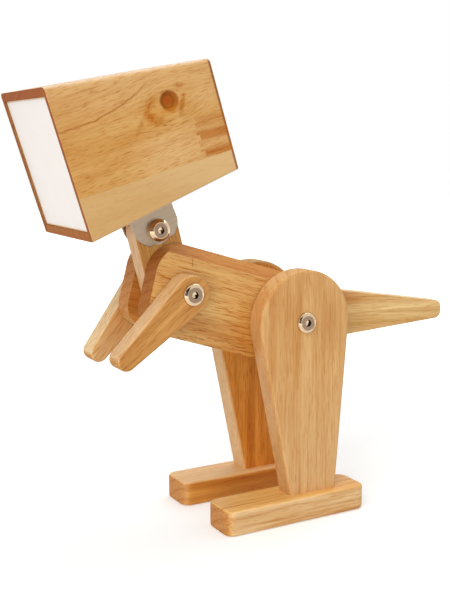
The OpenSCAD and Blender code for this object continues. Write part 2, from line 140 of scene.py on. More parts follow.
def as_object(bm, name, finishes):
    """Turn a bmesh into an object with its finishes."""
    thing = bpy.data.objects.new(name, bpy.data.meshes.new(name))
    bm.to_mesh(thing.data)
    bm.free()
    for finish in finishes:
        thing.data.materials.append(finish)
    bpy.context.scene.collection.objects.link(thing)
    return thing


print("middle grey in linear light:", linear("#808080"))

# %% [markdown]
# The lamp stands on a plain white floor. The floor has to look white to the camera and in
# reflections without throwing more light on the lamp, so its material asks which kind of ray meets
# it. It adds that white to its own shading, more of it further away, so that it still shows the
# lamp's shadow.

# %% Floor
FLOOR_HALF, FLOOR_DROP = 4, 0.2
# Distances in metres between which the floor fades from its shading to plain white.
FADE_FROM, FADE_TO = 0.3, 1.2


def sees_background(tree):
    """1 where the ray comes from the camera, or from a gloss or glass surface."""
    ray = add(tree, "LightPath").outputs
    mirrored = calc(tree, "MAXIMUM", ray["Is Glossy Ray"], ray["Is Transmission Ray"])
    return calc(tree, "MAXIMUM", ray["Is Camera Ray"], mirrored)


# Matt paint spreads the light evenly, so the eye sees nothing on it but the soft shadow.
floor_paint, tree, shader = new_finish("matt white floor")
away = add(tree, "VectorMath", {0: add(tree, "TexCoord").outputs["Object"]}, operation="LENGTH")
white = ramp(tree, away.outputs["Value"], FADE_FROM, FADE_TO, 0.85, low=0.34)
glow = calc(tree, "MULTIPLY", sees_background(tree), white)
feed(tree, shader, {"Base Color": linear("#E4E4E2"), "Roughness": 0.9, "Emission Color": linear("#FFFFFF"),
                    "Emission Strength": glow})

bm = bmesh.new()
under_soles = Matrix.Translation((0, 0, -FLOOR_DROP * MM))
bmesh.ops.create_grid(bm, x_segments=1, y_segments=1, size=FLOOR_HALF, matrix=under_soles)
floor = as_object(bm, "floor", [floor_paint])
print("floor:", 2 * FLOOR_HALF, "m wide")

# %% [markdown]
# The world stands for the white walls of the room. It gives the lamp a little light from all sides,
# and looks white to the camera and in reflections in the same way as the floor. The Standard view
# shows every colour about as it is written.

# %% World
world = bpy.data.worlds.new("white room")
world.use_nodes = True
bpy.context.scene.world = world
tree = world.node_tree
level = ramp(tree, sees_background(tree), 0, 1, 1.0, low=0.4)
feed(tree, tree.nodes["Background"], {"Color": linear("#FFFFFF"), "Strength": level})
bpy.context.scene.view_settings.view_transform = "Standard"
print("world:", world.name)

# %% [markdown]
# Three broad lamps give soft light. A large one high up on the left gives the boards their bright
# upper edges, a weaker low one in front lights between the legs, and one behind lights the sloping
# back. The first would show as a hard glint in the polished bolts, so it is kept out of reflections.

# %% Lamps
AIM = Vector((0, 0, 0.2))
for name, place, size, power in (
    ("key lamp", (-1.3, -0.8, 1.5), 1.3, 21),
    ("fill lamp", (-1.0, -1.3, 0.35), 0.7, 7.5),
    ("back lamp", (0.7, 0.3, 1.5), 1.2, 11),
):
    lamp = bpy.data.objects.new(name, bpy.data.lights.new(name, "AREA"))
    lamp.data.size = size
    lamp.data.energy = power
    lamp.location = place
    lamp.rotation_euler = (AIM - lamp.location).to_track_quat("-Z", "Y").to_euler()
    lamp.visible_glossy = name != "key lamp"
    bpy.context.scene.collection.objects.link(lamp)
    print(name, power, "W")

# %% [markdown]
# Polished metal only looks like metal when it mirrors something dark as well. Studios stand black
# flags beside the set for that. These two are seen in reflections alone, so they throw no shadow and
# don't show in other views.

# %% Black flags
# Felt swallows nearly all light, so a flag shows as an even black shape in the bolts.
felt, tree, shader = new_finish("black felt")
feed(tree, shader, {"Base Color": linear("#0E0E10"), "Roughness": 1.0})
for name, place, turn, size in (
    ("front flag", (-1.0, -1.1, 0.71), 0, (1.7, 1.4)),
    ("side flag", (-1.5, -0.85, 0.85), 75, (0.75, 1.7)),
):
    bm = bmesh.new()
    upright = Matrix.Rotation(math.radians(turn), 4, "Z") @ Matrix.Rotation(math.radians(90), 4, "X")
    stand = Matrix.Translation(place) @ upright @ Matrix.Diagonal((*size, 1, 1))
    bmesh.ops.create_grid(bm, x_segments=1, y_segments=1, size=0.5, matrix=stand)
    flag = as_object(bm, name, [felt])
    flag.visible_camera = flag.visible_diffuse = flag.visible_shadow = flag.visible_transmission = False
    print(name, "at", place)

# %% [markdown]
# Rubberwood is a pale golden hardwood. Its colour runs in long soft bands, growth rings draw
# slightly darker lines, and its large pores show as short brown dashes along the grain. The pattern
# is worked out in space, as in real timber, so that rings show as arcs on the end of a board. Noise
# that is stretched along the grain makes each layer, and the first layer bends the fibres of the
# others. Real pores are 0.3 mm wide, and are drawn 0.75 mm wide here, because the finer ones
# wouldn't show in the picture.

# %% Pattern of the wood
# Each layer: how many times longer it is along the grain, its width in mm, its detail.
WOOD_LAYERS = {"wander": (3, 50, 1.0), "band": (12, 12, 3.0), "line": (40, 1.2, 2.0),
               "pore": (14, 0.75, 0.5)}
# How far the fibres wander in mm, and where the pith of the log was and how it leans.
WANDER = (0, 6, 6)
PITH_PLACE, PITH_LEAN = (0, 24, 40), (0, 0.03, 0.04)
# Growth rings 9 mm apart, and how dark they are where the grain is cut across.
RING_SCALE, RINGS_ON_END = 0.314 / 9, 0.4


def wood_noise(tree, fibres, layers, seed):
    """Noise of each layer along the fibres, and the fibres as the first layer bends them."""
    noise = {}
    for layer, (times, width, detail) in layers.items():
        place = add(tree, "Mapping", {"Vector": fibres, "Scale": (1 / times / width, 1 / width, 1 / width)})
        noise[layer] = add(tree, "TexNoise", {"Vector": place.outputs[0], "W": seed, "Scale": 1.0,
                                              "Detail": detail}, noise_dimensions="4D").outputs
        if layer == "wander":
            fibres = add(tree, "VectorMath", {0: noise[layer]["Color"], 1: WANDER, 2: fibres},
                         operation="MULTIPLY_ADD").outputs[0]
    return noise, fibres


def wood_marks(tree, noise, fibres, cut, marks):
    """Share of the darker tone in growth rings, fine lines and pores; marks are their depths."""
    pith = add(tree, "Mapping", {"Vector": fibres, "Location": PITH_PLACE, "Rotation": PITH_LEAN})
    rings = add(tree, "TexWave", {"Vector": pith.outputs[0], "Scale": RING_SCALE, "Distortion": 1.5,
                                  "Detail": 2.0}, wave_type="RINGS", rings_direction="X", wave_profile="SAW")
    depth = ramp(tree, cut, 0, 1, RINGS_ON_END, low=marks[0])
    shares = {}
    for part, value, low, high, most in (
        ("ring", rings.outputs["Fac"], 0.6, 1.0, depth),
        ("line", noise["line"][0], 0.45, 0.75, marks[1]),
        ("pore", noise["pore"][0], 0.57, 0.69, marks[2]),
    ):
        shares[part] = ramp(tree, value, low, high, most)
    return shares


print("layers of the wood:", *WOOD_LAYERS)

# %% [markdown]
# Every board turns the pattern along its own grain and has its own seed. Where the grain is cut
# across, the lacquer soaks in and the wood turns a darker red-brown and dull. The narrow faces of a
# board can get a tone of their own; on some boards that tone is painted light. A thin satin lacquer
# gives the rest a soft gloss, which the pores and lines break up. Some boards lay further tones over
# the bands, bend the fibres round a knot, or calm the pattern in places, and pass a function for that.
# The one for tones gives each tone with its share, and they are laid over the bands in turn.

# %% Rubberwood
MARK_TONE = "#D6A32C"


def rubberwood(name, grain, centre, seed, pale="#D8A861", deep="#BA7F3C", end="#A4662B", edge=None, gloss=1,
               layers=WOOD_LAYERS, marks=(0.14, 0.5, 0.6), warp=None, overlay=None, calm=None):
    """Finish of a board whose grain rises from +X towards +Z by an angle, about a centre in mm."""
    finish, tree, shader = new_finish(name)
    turn = math.radians(grain)
    start = -(Matrix.Rotation(turn, 3, "Y") @ Vector(centre))
    where = add(tree, "TexCoord").outputs
    board = add(tree, "Mapping", {"Vector": where["Object"], "Location": start, "Rotation": (0, turn, 0),
                                  "Scale": (1 / MM, 1 / MM, 1 / MM)}).outputs[0]
    noise, fibres = wood_noise(tree, warp(tree, board) if warp else board, layers, seed)

    along = (math.cos(turn), 0, math.sin(turn))
    facing = add(tree, "VectorMath", {0: where["Normal"], 1: along}, operation="DOT_PRODUCT")
    cut = ramp(tree, calc(tree, "ABSOLUTE", facing.outputs["Value"]), 0.5, 0.85)
    shares = wood_marks(tree, noise, fibres, cut, marks)
    if calm:
        strength = calm(tree, board)
        shares = {part: calc(tree, "MULTIPLY", share, strength) for part, share in shares.items()}

    band = ramp(tree, noise["band"][0], 0.32, 0.7)
    colour = blend(tree, band, pale, deep)
    tones = overlay(tree, board) if overlay else []
    # The narrow faces get the edge tone; on the head's sides it is a painted highlight, on the right foot's
    # top painted light.
    if edge:
        side = calc(tree, "ABSOLUTE", places(tree, where["Normal"])[1])
        tones.append((ramp(tree, side, 0.97, 0.5, 0.8), edge))
    for share, tone in [*tones, (cut, end)]:
        colour = blend(tree, share, colour, tone)
    for share in shares.values():
        colour = blend(tree, share, colour, MARK_TONE, blend_type="MULTIPLY")

    sheen = ramp(tree, noise["line"][0], 0, 1, 0.56, low=0.38)
    sheen = add(tree, "Mix", {0: cut, 2: sheen, 3: 0.9}).outputs[0]
    furrow = calc(tree, "ADD", shares["line"], shares["pore"])
    relief = add(tree, "Bump", {"Height": furrow, "Strength": 0.2, "Distance": 0.1 * MM}, invert=True)
    feed(tree, shader, {"Base Color": colour, "Roughness": sheen, "Normal": relief.outputs[0], "IOR": 1.5,
                        "Specular IOR Level": 0.05 + 0.2 * gloss, "Coat Weight": 0.1 * gloss,
                        "Coat Roughness": 0.25})
    print("finish:", name)
    return finish


print("tone of rings, lines and pores:", MARK_TONE)

# %% [markdown]
# The boards turn about three bolts, so the bolts are the places that everything is measured from.
# The joints of the solids hold them, and these are the same points in millimetres.

# %% Places of the bolts
joints = frame["record"]["behaviour"]["joints"]
spots = {joint["name"]: joint["pos_m"] for joint in joints if "pos_m" in joint}
hip, shoulder, pivot = [(spots[name][0] / MM, spots[name][2] / MM)
                        for name in ("tail_swing", "neck_swing", "head_tilt")]
print("hip", hip, "shoulder", shoulder, "head pivot", pivot)

# %% [markdown]
# Every flat board has an outline stretched round circles and corners. The quick way to get one is
# to set the circles out at both faces of the board and to wrap a convex skin round them. The skin
# comes as triangles, and merging those that lie flat leaves clean faces.

# %% Blanks of boards
def across_lamp(x, y, z):
    """Place of a circle that lies in the plane of a board, in millimetres."""
    return Matrix.Translation(Vector((x, y, z)) * MM) @ Matrix.Rotation(math.radians(90), 4, "X")


def wrap(bm):
    """Wrap a convex skin round all points, and merge its flat triangles."""
    bmesh.ops.delete(bm, geom=bm.edges[:], context="EDGES_FACES")
    bmesh.ops.convex_hull(bm, input=bm.verts[:])
    bmesh.ops.delete(bm, geom=[v for v in bm.verts if not v.link_faces], context="VERTS")
    bmesh.ops.dissolve_limit(bm, angle_limit=math.radians(0.4), verts=bm.verts[:], edges=bm.edges[:])
    bmesh.ops.recalc_face_normals(bm, faces=bm.faces[:])


def board_blank(circles, y_lo, y_hi, corners=()):
    """Board between two faces; circles are (x, z, radius) and corners (x, z), in millimetres."""
    bm = bmesh.new()
    for y in (y_lo, y_hi):
        for x, z, r in circles:
            bmesh.ops.create_circle(bm, segments=96, radius=r * MM, matrix=across_lamp(x, y, z))
        for x, z in corners:
            bm.verts.new(Vector((x, y, z)) * MM)
    wrap(bm)
    return bm


# Distance in mm from the middle of the lamp to the slot, the outside of the body, and the faces of a limb.
SLOT, PANEL, LIMB_IN, LIMB_OUT = 10, 30, 31, 51
LIMB_MID = (LIMB_IN + LIMB_OUT) / 2
print("width over the limbs:", 2 * LIMB_OUT, "mm")

# %% [markdown]
# The rims of a board are rounded over with a bevel, as a router does. A plane takes off what lies
# beyond it, and the cut is closed. A bolt hole is cut by filling each face again with a ring inside
# it, and joining the two rings.

# %% Rims and holes
BOLT_HOLE = 4.05


def edges_of(verts):
    """Edges of a ring of points, each once and in a fixed order."""
    return list(dict.fromkeys(e for v in verts for e in v.link_edges))


def faces_towards(bm, direction):
    """Faces whose normal is a direction."""
    return [f for f in bm.faces if f.normal.dot(Vector(direction).normalized()) > 0.9995]


def rim_of(bm, *directions):
    """Edges round the faces that look in these directions."""
    flats = {f for direction in directions for f in faces_towards(bm, direction)}
    return [e for e in bm.edges if len([f for f in e.link_faces if f in flats]) == 1]


def round_over(bm, edges, size, segments=5):
    """Round edges to a radius in millimetres, with crisp shading where the flats begin."""
    made = set(bmesh.ops.bevel(bm, geom=edges, offset=size * MM, offset_type="OFFSET", segments=segments,
                               profile=0.5, affect="EDGES", clamp_overlap=True, material=-1)["faces"])
    for edge in bm.edges:
        if len([f for f in edge.link_faces if f in made]) == 1:
            edge.smooth = False


def plane_off(bm, at, out):
    """Cut off all that lies beyond a plane, and close the cut."""
    bmesh.ops.bisect_plane(bm, geom=bm.verts[:] + bm.edges[:] + bm.faces[:], plane_co=at, plane_no=out,
                           clear_outer=True)
    bmesh.ops.holes_fill(bm, edges=[e for e in bm.edges if e.is_boundary])


def move(bm, matrix):
    """Take a whole bmesh to another place."""
    bmesh.ops.transform(bm, matrix=matrix, verts=bm.verts[:])


def drill(bm, holes, y_lo, y_hi):
    """Holes (x, z, radius) right through a board."""
    rings = []
    for y, direction in ((y_lo, (0, -1, 0)), (y_hi, (0, 1, 0))):
        flat = max(faces_towards(bm, direction), key=lambda f: f.calc_area())
        outline = list(flat.edges)
        bmesh.ops.delete(bm, geom=[flat], context="FACES_ONLY")
        for x, z, r in holes:
            place = across_lamp(x, y, z)
            ring = bmesh.ops.create_circle(bm, segments=48, radius=r * MM, matrix=place)["verts"]
            rings.append(edges_of(ring))
        new_rings = [e for ring in rings[-len(holes):] for e in ring]
        bmesh.ops.triangle_fill(bm, use_beauty=True, edges=outline + new_rings)
    for low, high in zip(rings, rings[len(holes):]):
        bmesh.ops.bridge_loops(bm, edges=[*low, *high])


print("bolt holes:", 2 * BOLT_HOLE, "mm")

# %% [markdown]
# A finished mesh becomes a piece. It rides on a body of the lamp, stands for one of its solids, and
# has smooth shading with crisp edges where two faces meet at more than 32 degrees.

# %% Keeping a piece
CRISP = math.radians(32)


def keep(bm, name, body, slot, finishes, *nodes):
    """Turn a bmesh into a piece that rides on a body and stands for solids."""
    bmesh.ops.recalc_face_normals(bm, faces=bm.faces[:])
    for face in bm.faces:
        face.smooth = True
    for edge in bm.edges:
        if edge.is_manifold and edge.calc_face_angle() > CRISP:
            edge.smooth = False
    open_edges = len([e for e in bm.edges if not e.is_manifold])
    piece = as_object(bm, name, finishes)
    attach(piece, body)
    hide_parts(*nodes)
    print("piece:", name, "faces", len(piece.data.polygons), "open edges", open_edges)


print("edges stay crisp above", round(math.degrees(CRISP)), "degrees")

# %% [markdown]
# The legs are the largest boards: a round top about the hip, with straight sides that run down to
# the ankle. Their grain is upright. Their tone is paler towards the foot, with amber streaks beside
# the hip. The inner face of the right leg is painted a deeper orange as the shade between the legs,
# and painted paler again towards the hip, where less shade falls. Each tone is laid over the wood by
# how far a point is along the board, or inside an oval mark.

# %% Tones of the legs
# Place up and across, half length, half width and depth of the amber streaks beside the hip.
STREAKS = ((82, -26, 42, 12, 0.6), (92, 15, 26, 7, 0.35), (8, 17, 30, 5, 0.3))
# A mark goes right through its board, so its half size that way is far larger than the board.
THROUGH = 1e4


def oval(tree, board, place, half, slope=0):
    """How far a point is from the middle of an oval mark, which is 1 on its rim; sizes in mm."""
    mark = add(tree, "Mapping", {"Vector": board, "Location": (place[0], 0, place[1]),
                                 "Rotation": (0, -math.radians(slope), 0),
                                 "Scale": (half[0], THROUGH, half[1])}, vector_type="TEXTURE")
    return add(tree, "VectorMath", {0: mark.outputs[0]}, operation="LENGTH").outputs["Value"]


def leg_tones(tree, board):
    """A paler tone towards the foot, and amber streaks beside the hip."""
    tones = [(ramp(tree, places(tree, board)[0], 60, -50, 0.45), "#E6BF8C")]
    for x, z, long, wide, depth in STREAKS:
        gap = oval(tree, board, (x, z), (long, wide))
        tones.append((ramp(tree, gap, 1.0, 0.2, depth), "#BE7E38"))
    return tones


def painted_light_thigh(tree, board):
    """Painted light on the shaded inner face: paler towards the hip, where less shade falls."""
    return [(ramp(tree, places(tree, board)[0], -45, 55, 0.4), "#F2BC60")]


print("streaks on a leg:", len(STREAKS))

# %% [markdown]
# The rims of both faces of a leg are rounded over, and the foot end is left square because it sits
# on the foot.

# %% Legs
UPRIGHT, TINY = 90, 1e-6
FOOT_TOP, LEG_TOP, LEG_RIM, LEG_CENTRE = 22, 45, 2.5, 90
ANKLE_X, ANKLE_WIDTH = hip[0] + 9, 47.5
ANKLE = [(ANKLE_X + side * ANKLE_WIDTH / 2, FOOT_TOP) for side in (-1, 1)]
# Smooth lacquered board: pale and silky, with fine upright lines that catch little light.
LEG = {"pale": "#E3B87E", "deep": "#C88D4C", "end": "#DCB077", "gloss": 0.6, "marks": (0.14, 0.4, 0.35)}
# Inner face of the right leg: painted shade between the legs, a strong orange, duller and with darker lines.
SHADED_INNER_LEG = {"pale": "#E99F44", "deep": "#B35C10", "gloss": 0.3, "marks": (0.14, 0.6, 0.6)}
for side, sign, seed, edge in (("left", -1, 1.3, "#C8945A"), ("right", 1, 4.1, "#E6C08E")):
    y_lo, y_hi = sorted((sign * LIMB_IN, sign * LIMB_OUT))
    bm = board_blank([(*hip, LEG_TOP)], sign * LIMB_IN, sign * LIMB_OUT, ANKLE)
    rims = rim_of(bm, (0, -1, 0), (0, 1, 0))
    round_over(bm, [e for e in rims if max(v.co.z for v in e.verts) > FOOT_TOP * MM + TINY], LEG_RIM)
    drill(bm, [(*hip, BOLT_HOLE)], y_lo, y_hi)
    place = (hip[0], sign * LIMB_MID, LEG_CENTRE)
    finishes = [rubberwood(side + " leg rubberwood", UPRIGHT, place, seed, **LEG, edge=edge,
                           overlay=leg_tones)]
    # The right leg's inner face gets the painted shade, with painted light towards the hip.
    if side == "right":
        finishes.append(rubberwood("right leg inner painted shade rubberwood", UPRIGHT, place, seed, **SHADED_INNER_LEG,
                                   overlay=painted_light_thigh))
        for face in bm.faces:
            if face.normal.y < -0.99:
                face.material_index = 1
    keep(bm, side + "_leg_board", side + "_leg", "rubberwood", finishes, side + "_leg")

# %% [markdown]
# A foot is a straight bar with its four upright corners rounded well and its other edges eased a
# little. A cube that is stretched to size and bevelled twice gives exactly that. Two countersinks
# in the sole are for the screws: a ring is cut into the face, and its walls are drawn inwards.

# %% Feet
FOOT_LENGTH, FOOT_WIDTH, TOE, FOOT_CORNER, FOOT_EASE = 142, 37.98, hip[0] - 82, 9, 2.4
FOOT_CENTRE_X, FOOT_CENTRE_Z = TOE + 60, 8
SINK_RADIUS, SINK_DEPTH = 4.3, 2.8
FOOT_LAYERS = {**WOOD_LAYERS, "band": (14, 9, 1.5), "line": (30, 2.2, 2.0)}


def sink_sole(bm, sign):
    """Cut the countersinks of the two screws into the sole of a foot."""
    sole = max(faces_towards(bm, (0, 0, -1)), key=lambda f: f.calc_area())
    outline = list(sole.edges)
    bmesh.ops.delete(bm, geom=[sole], context="FACES_ONLY")
    for ahead in (-1, 1):
        place = Matrix.Translation(Vector((ANKLE_X + ahead * ANKLE_WIDTH / 4, sign * LIMB_MID, 0)) * MM)
        ring = bmesh.ops.create_circle(bm, segments=32, radius=SINK_RADIUS * MM, matrix=place)["verts"]
        mouth = edges_of(ring)
        outline += mouth
        wall = bmesh.ops.extrude_edge_only(bm, edges=mouth)["geom"]
        deep_end = [v for v in wall if isinstance(v, bmesh.types.BMVert)]
        bmesh.ops.scale(bm, vec=(0.5, 0.5, 1), space=place.inverted(), verts=deep_end)
        bmesh.ops.translate(bm, vec=(0, 0, SINK_DEPTH * MM), verts=deep_end)
        edges = [e for e in wall if isinstance(e, bmesh.types.BMEdge)]
        bmesh.ops.contextual_create(bm, geom=[e for e in edges if e.is_boundary and e.verts[0].co.z > MM])
    bmesh.ops.triangle_fill(bm, use_beauty=True, edges=outline)


# Lacquered bars: broad streaks run the length of a foot, and its end shows rings in a browner tone.
for side, sign, seed, pale, deep, top, streak in (
    ("left", -1, 6.2, "#F0D09E", "#D8A86C", "#F2BC68", 0.75),
    # The right foot's deep orange sides are painted shade between the legs, and its pale top is painted
    # light.
    ("right", 1, 8.9, "#DC9A44", "#BC6C1A", "#F4CE96", 0.3),
):
    bm = bmesh.new()
    middle = Vector((TOE + FOOT_LENGTH / 2, sign * LIMB_MID, FOOT_TOP / 2)) * MM
    size = Matrix.Diagonal((FOOT_LENGTH * MM, FOOT_WIDTH * MM, FOOT_TOP * MM, 1))
    bmesh.ops.create_cube(bm, size=1, matrix=Matrix.Translation(middle) @ size)
    upright = [e for e in bm.edges if abs(e.verts[0].co.z - e.verts[1].co.z) > TINY]
    round_over(bm, upright, FOOT_CORNER, segments=10)
    round_over(bm, rim_of(bm, (0, 0, 1), (0, 0, -1)), FOOT_EASE)
    sink_sole(bm, sign)
    place = (FOOT_CENTRE_X, sign * LIMB_MID, FOOT_CENTRE_Z)
    timber = rubberwood(side + " foot rubberwood", 0, place, seed, pale, deep, "#CA8F52", edge=top,
                        layers=FOOT_LAYERS, marks=(0.14, streak, 0.35))
    keep(bm, side + "_foot_board", side + "_leg", "rubberwood", [timber], side + "_foot")

# %% [markdown]
# The body panels deepen to a richer brown towards the belly, where they have dark flecks, and to
# amber beside the leg. By the back they are paler, and a short butt joint shows there. All of these
# are places on the board, so they are laid over the wood by how far a point is up and along it.

# %% Tones of the body
# Sizes of the flecks in mm; the joint is 0.9 mm wide and leans a little.
FLECK = (7, 1.2, 1.2)
BUTT_X, BUTT_LEAN, BUTT_HALF = 10.2, 0.3, 0.45


def deeper_belly(tree, board):
    """Paler by the back, with a butt joint, amber by the leg, and deeper with dark flecks below."""
    along, _, up = places(tree, board)
    high = ramp(tree, up, 10, 38, 0.5)
    leg = ramp(tree, along, 26, 58, 0.6)
    leg = ramp(tree, up, 34, 12, leg)
    low = ramp(tree, along, 5, 50, 0.35)
    low = ramp(tree, up, 6, -18, low)
    worn = ramp(tree, up, -6, -16, 0.6)
    worn = ramp(tree, stretched(tree, board, FLECK), 0.53, 0.61, worn)
    butt = calc(tree, "MULTIPLY_ADD", up, BUTT_LEAN, along)
    butt = calc(tree, "COMPARE", butt, BUTT_X, BUTT_HALF)
    butt = ramp(tree, up, 40, 42, butt)
    return [(high, "#E6B872"), (leg, "#C67E20"), (low, "#C27C2C"), (worn, "#8E5218"), (butt, "#B47F40")]


print("butt joint", BUTT_X, "mm behind the shoulder")

# %% [markdown]
# The two body panels share one outline: rump, withers and chest. A broad bevel runs along the back
# of each, cut here with a plane, and the open cut is closed with one face that gets a browner,
# duller finish.

# %% Body panels
RUMP = (hip[0], hip[1] - 1.5, 39.5)
WITHERS = (shoulder[0] + 2.7, shoulder[1] + 11.6, 26)
CHEST = (shoulder[0] - 10.6, shoulder[1] - 16, 20)
BEVEL_ACROSS, BEVEL_DOWN, BEVEL_FROM = 19, 9.5, 11
BELLY_RIM, BEVEL_RIM = 3, 0.8
reach = Vector((WITHERS[0] - RUMP[0], WITHERS[1] - RUMP[1]))
back_angle = math.atan2(reach.y, reach.x) - math.acos((RUMP[2] - WITHERS[2]) / reach.length)
back_slope = math.degrees(back_angle) - 90
back_out = Vector((math.cos(back_angle), 0, math.sin(back_angle)))
bevel_out = (back_out * BEVEL_ACROSS + Vector((0, -BEVEL_DOWN, 0))).normalized()
bevel_at = (Vector((RUMP[0], -BEVEL_FROM, RUMP[1])) + RUMP[2] * back_out) * MM
for side, sign, seed, end in (("left", -1, 2.4, "#B0702E"), ("right", 1, 5.7, "#CE9256")):
    bm = board_blank([RUMP, WITHERS, CHEST], -PANEL, -SLOT)
    plane_off(bm, bevel_at, bevel_out)
    for face in faces_towards(bm, bevel_out):
        face.material_index = 1
    for face in faces_towards(bm, (0, 1, 0)):
        face.material_index = 2
    rims = rim_of(bm, (0, -1, 0))
    under = [e for e in rims if e.link_faces[0].normal.z + e.link_faces[1].normal.z < -0.6]
    round_over(bm, under, BELLY_RIM)
    round_over(bm, rim_of(bm, bevel_out), BEVEL_RIM, segments=3)
    if sign > 0:
        bmesh.ops.scale(bm, vec=(1, -1, 1), verts=bm.verts[:])
    place = (shoulder[0], sign * (SLOT + PANEL) / 2, shoulder[1] - 20)
    # Lacquered face: golden, with many dark pores in wavy rows.
    timber = rubberwood(side + " body rubberwood", back_slope, place, seed, "#E6BC77", "#BF823F", end,
                        marks=(0.14, 0.6, 0.8), overlay=deeper_belly)
    # Planed bevel: redder and dull.
    bevel = rubberwood(side + " planed back rubberwood", back_slope, place, seed, "#D99A4C", "#C27A34",
                       "#A4652E", gloss=0)
    # Face in the slot: a deep orange brown, painted shade between the panels.
    knot_heart_and_slot_shade = rubberwood(side + " body heart side rubberwood", back_slope, place, seed, "#CF8B3E", "#A9611E")
    keep(bm, side + "_body_board", "torso", "rubberwood", [timber, bevel, knot_heart_and_slot_shade], side + "_body_panel")

# %% [markdown]
# The arms are tapered bars that hang from the shoulder bolt, the left one a little higher than the
# right one. Their rims are rounded over like those of the legs. Towards the hand the left arm
# deepens, and the right one gets paler.

# %% Arms
ARM_LENGTH, ARM_TOP, HAND_END, ARM_RIM = 75, 15.5, 8, 2


def hand_tone(tone, depth):
    """Make an overlay that lets an arm change to another tone towards the hand."""
    def overlay(tree, board):
        return [(ramp(tree, places(tree, board)[0], -30, -ARM_LENGTH, depth), tone)]
    return overlay


# Lacquered bars: silky faces between a paler upper edge and a browner end.
for side, sign, droop, seed, pale, deep, edge, hand_look in (
    ("left", -1, 40, 3.8, "#D6A25A", "#B27432", "#DFBB8B", ("#B0722E", 0.3)),
    ("right", 1, 50, 7.3, "#D6A05A", "#BD803E", "#E9D0A2", ("#EDD3A4", 0.32)),
):
    angle = math.radians(droop)
    hand = (shoulder[0] - ARM_LENGTH * math.cos(angle), shoulder[1] - ARM_LENGTH * math.sin(angle))
    y_lo, y_hi = sorted((sign * LIMB_IN, sign * LIMB_OUT))
    bm = board_blank([(*shoulder, ARM_TOP), (*hand, HAND_END)], y_lo, y_hi)
    round_over(bm, rim_of(bm, (0, -1, 0), (0, 1, 0)), ARM_RIM)
    drill(bm, [(*shoulder, BOLT_HOLE)], y_lo, y_hi)
    place = (shoulder[0], sign * LIMB_MID, shoulder[1])
    timber = rubberwood(side + " arm rubberwood", droop, place, seed, pale, deep, "#CB9552", edge,
                        overlay=hand_tone(*hand_look))
    keep(bm, side + "_arm_board", side + "_arm", "rubberwood", [timber], side + "_arm")

# %% [markdown]
# The neck stands in the slot between the body panels and has a bolt at each end.

# %% Neck
MIDDLE, NECK_END, NECK_RIM, NECK_LEAN = 9, 20, 1.2, 104
bm = board_blank([(*shoulder, NECK_END), (*pivot, NECK_END)], -MIDDLE, MIDDLE)
round_over(bm, rim_of(bm, (0, -1, 0), (0, 1, 0)), NECK_RIM, segments=4)
drill(bm, [(*shoulder, BOLT_HOLE), (*pivot, BOLT_HOLE)], -MIDDLE, MIDDLE)
# Lacquered bar: amber faces beside a much paler narrow edge.
timber = rubberwood("neck rubberwood", NECK_LEAN, (shoulder[0], 0, shoulder[1]), 9.4, "#DAA660", "#BB7D38",
                    edge="#ECC896")
keep(bm, "neck_bar", "neck", "rubberwood", [timber], "neck_board")

# %% [markdown]
# The tail stands in the same slot at the other end. It tapers to a blunt end with round corners, and
# its upper edge is a deeper amber where it comes out from between the legs.

# %% Tail
TAIL_DROP, TAIL_END, TAIL_ROOT, TIP, TIP_HALF, TAIL_RIM = 3, 179.99, 28.5, 7, 2, 1.5


def amber_root(tree, board):
    """Deeper amber along the upper edge, near the root."""
    along, _, up = places(tree, board)
    return [(ramp(tree, up, 1, 13, ramp(tree, along, 115, 50, 0.9)), "#C67A2C")]


drop = math.radians(TAIL_DROP)
ends = [(hip[0] + TAIL_END * math.cos(drop) + up * math.sin(drop),
         hip[1] - TAIL_END * math.sin(drop) + up * math.cos(drop), TIP) for up in (-TIP_HALF, TIP_HALF)]
bm = board_blank([(*hip, TAIL_ROOT), *ends], -MIDDLE, MIDDLE)
round_over(bm, rim_of(bm, (0, -1, 0), (0, 1, 0)), TAIL_RIM, segments=4)
drill(bm, [(*hip, BOLT_HOLE)], -MIDDLE, MIDDLE)
# Lacquered bar: the palest of the boards, with narrow bands that run straight to its tip.
timber = rubberwood("tail rubberwood", -TAIL_DROP, (hip[0], 0, hip[1]), 10.6, "#F2D296", "#CF9D56",
                    "#D2A468", "#F4D9AC", layers={**WOOD_LAYERS, "band": (18, 7, 2.5)},
                    marks=(0.14, 0.5, 0.4), overlay=amber_root)
keep(bm, "tail_bar", "tail", "rubberwood", [timber], "tail_board")

# %% [markdown]
# The head is a box of thin boards that is taller in front than behind, tilted nose down. It is
# easiest to build level, about the head's own pivot, and to tilt each board once it is shaped.

# %% Head box
FRONT, BACK, SIDE_OUT, SIDE_IN, DECK = -70.3, 64.4, 53.7, 48.7, 7
HEAD_TILT, FRONT_HEIGHT, BACK_HEIGHT, MID = 17, 117.5, 89, 76.654
TAPER = math.atan((FRONT_HEIGHT - BACK_HEIGHT) / 2 / (BACK - FRONT))
IN_HEAD = (Matrix.Translation(Vector((pivot[0], 0, pivot[1])) * MM)
           @ Matrix.Rotation(math.radians(-HEAD_TILT), 4, "Y"))
head_centre = IN_HEAD @ (Vector((0, 0, MID)) * MM) / MM


def half_height(x):
    """Half the height of the head box at a place along it."""
    return BACK_HEIGHT / 2 + (BACK - x) * math.tan(TAPER)


def level_board(points, y_lo, y_hi):
    """Board of the head before it is tilted, from the corners of its side view."""
    bm = bmesh.new()
    for y in (y_lo, y_hi):
        for x, z in points:
            bm.verts.new(Vector((x, y, z)) * MM)
    wrap(bm)
    return bm


def edges_along(bm, direction):
    """Edges that run within a few degrees of a direction."""
    line = Vector(direction).normalized()
    return [e for e in bm.edges if abs((e.verts[1].co - e.verts[0].co).normalized().dot(line)) > 0.98]


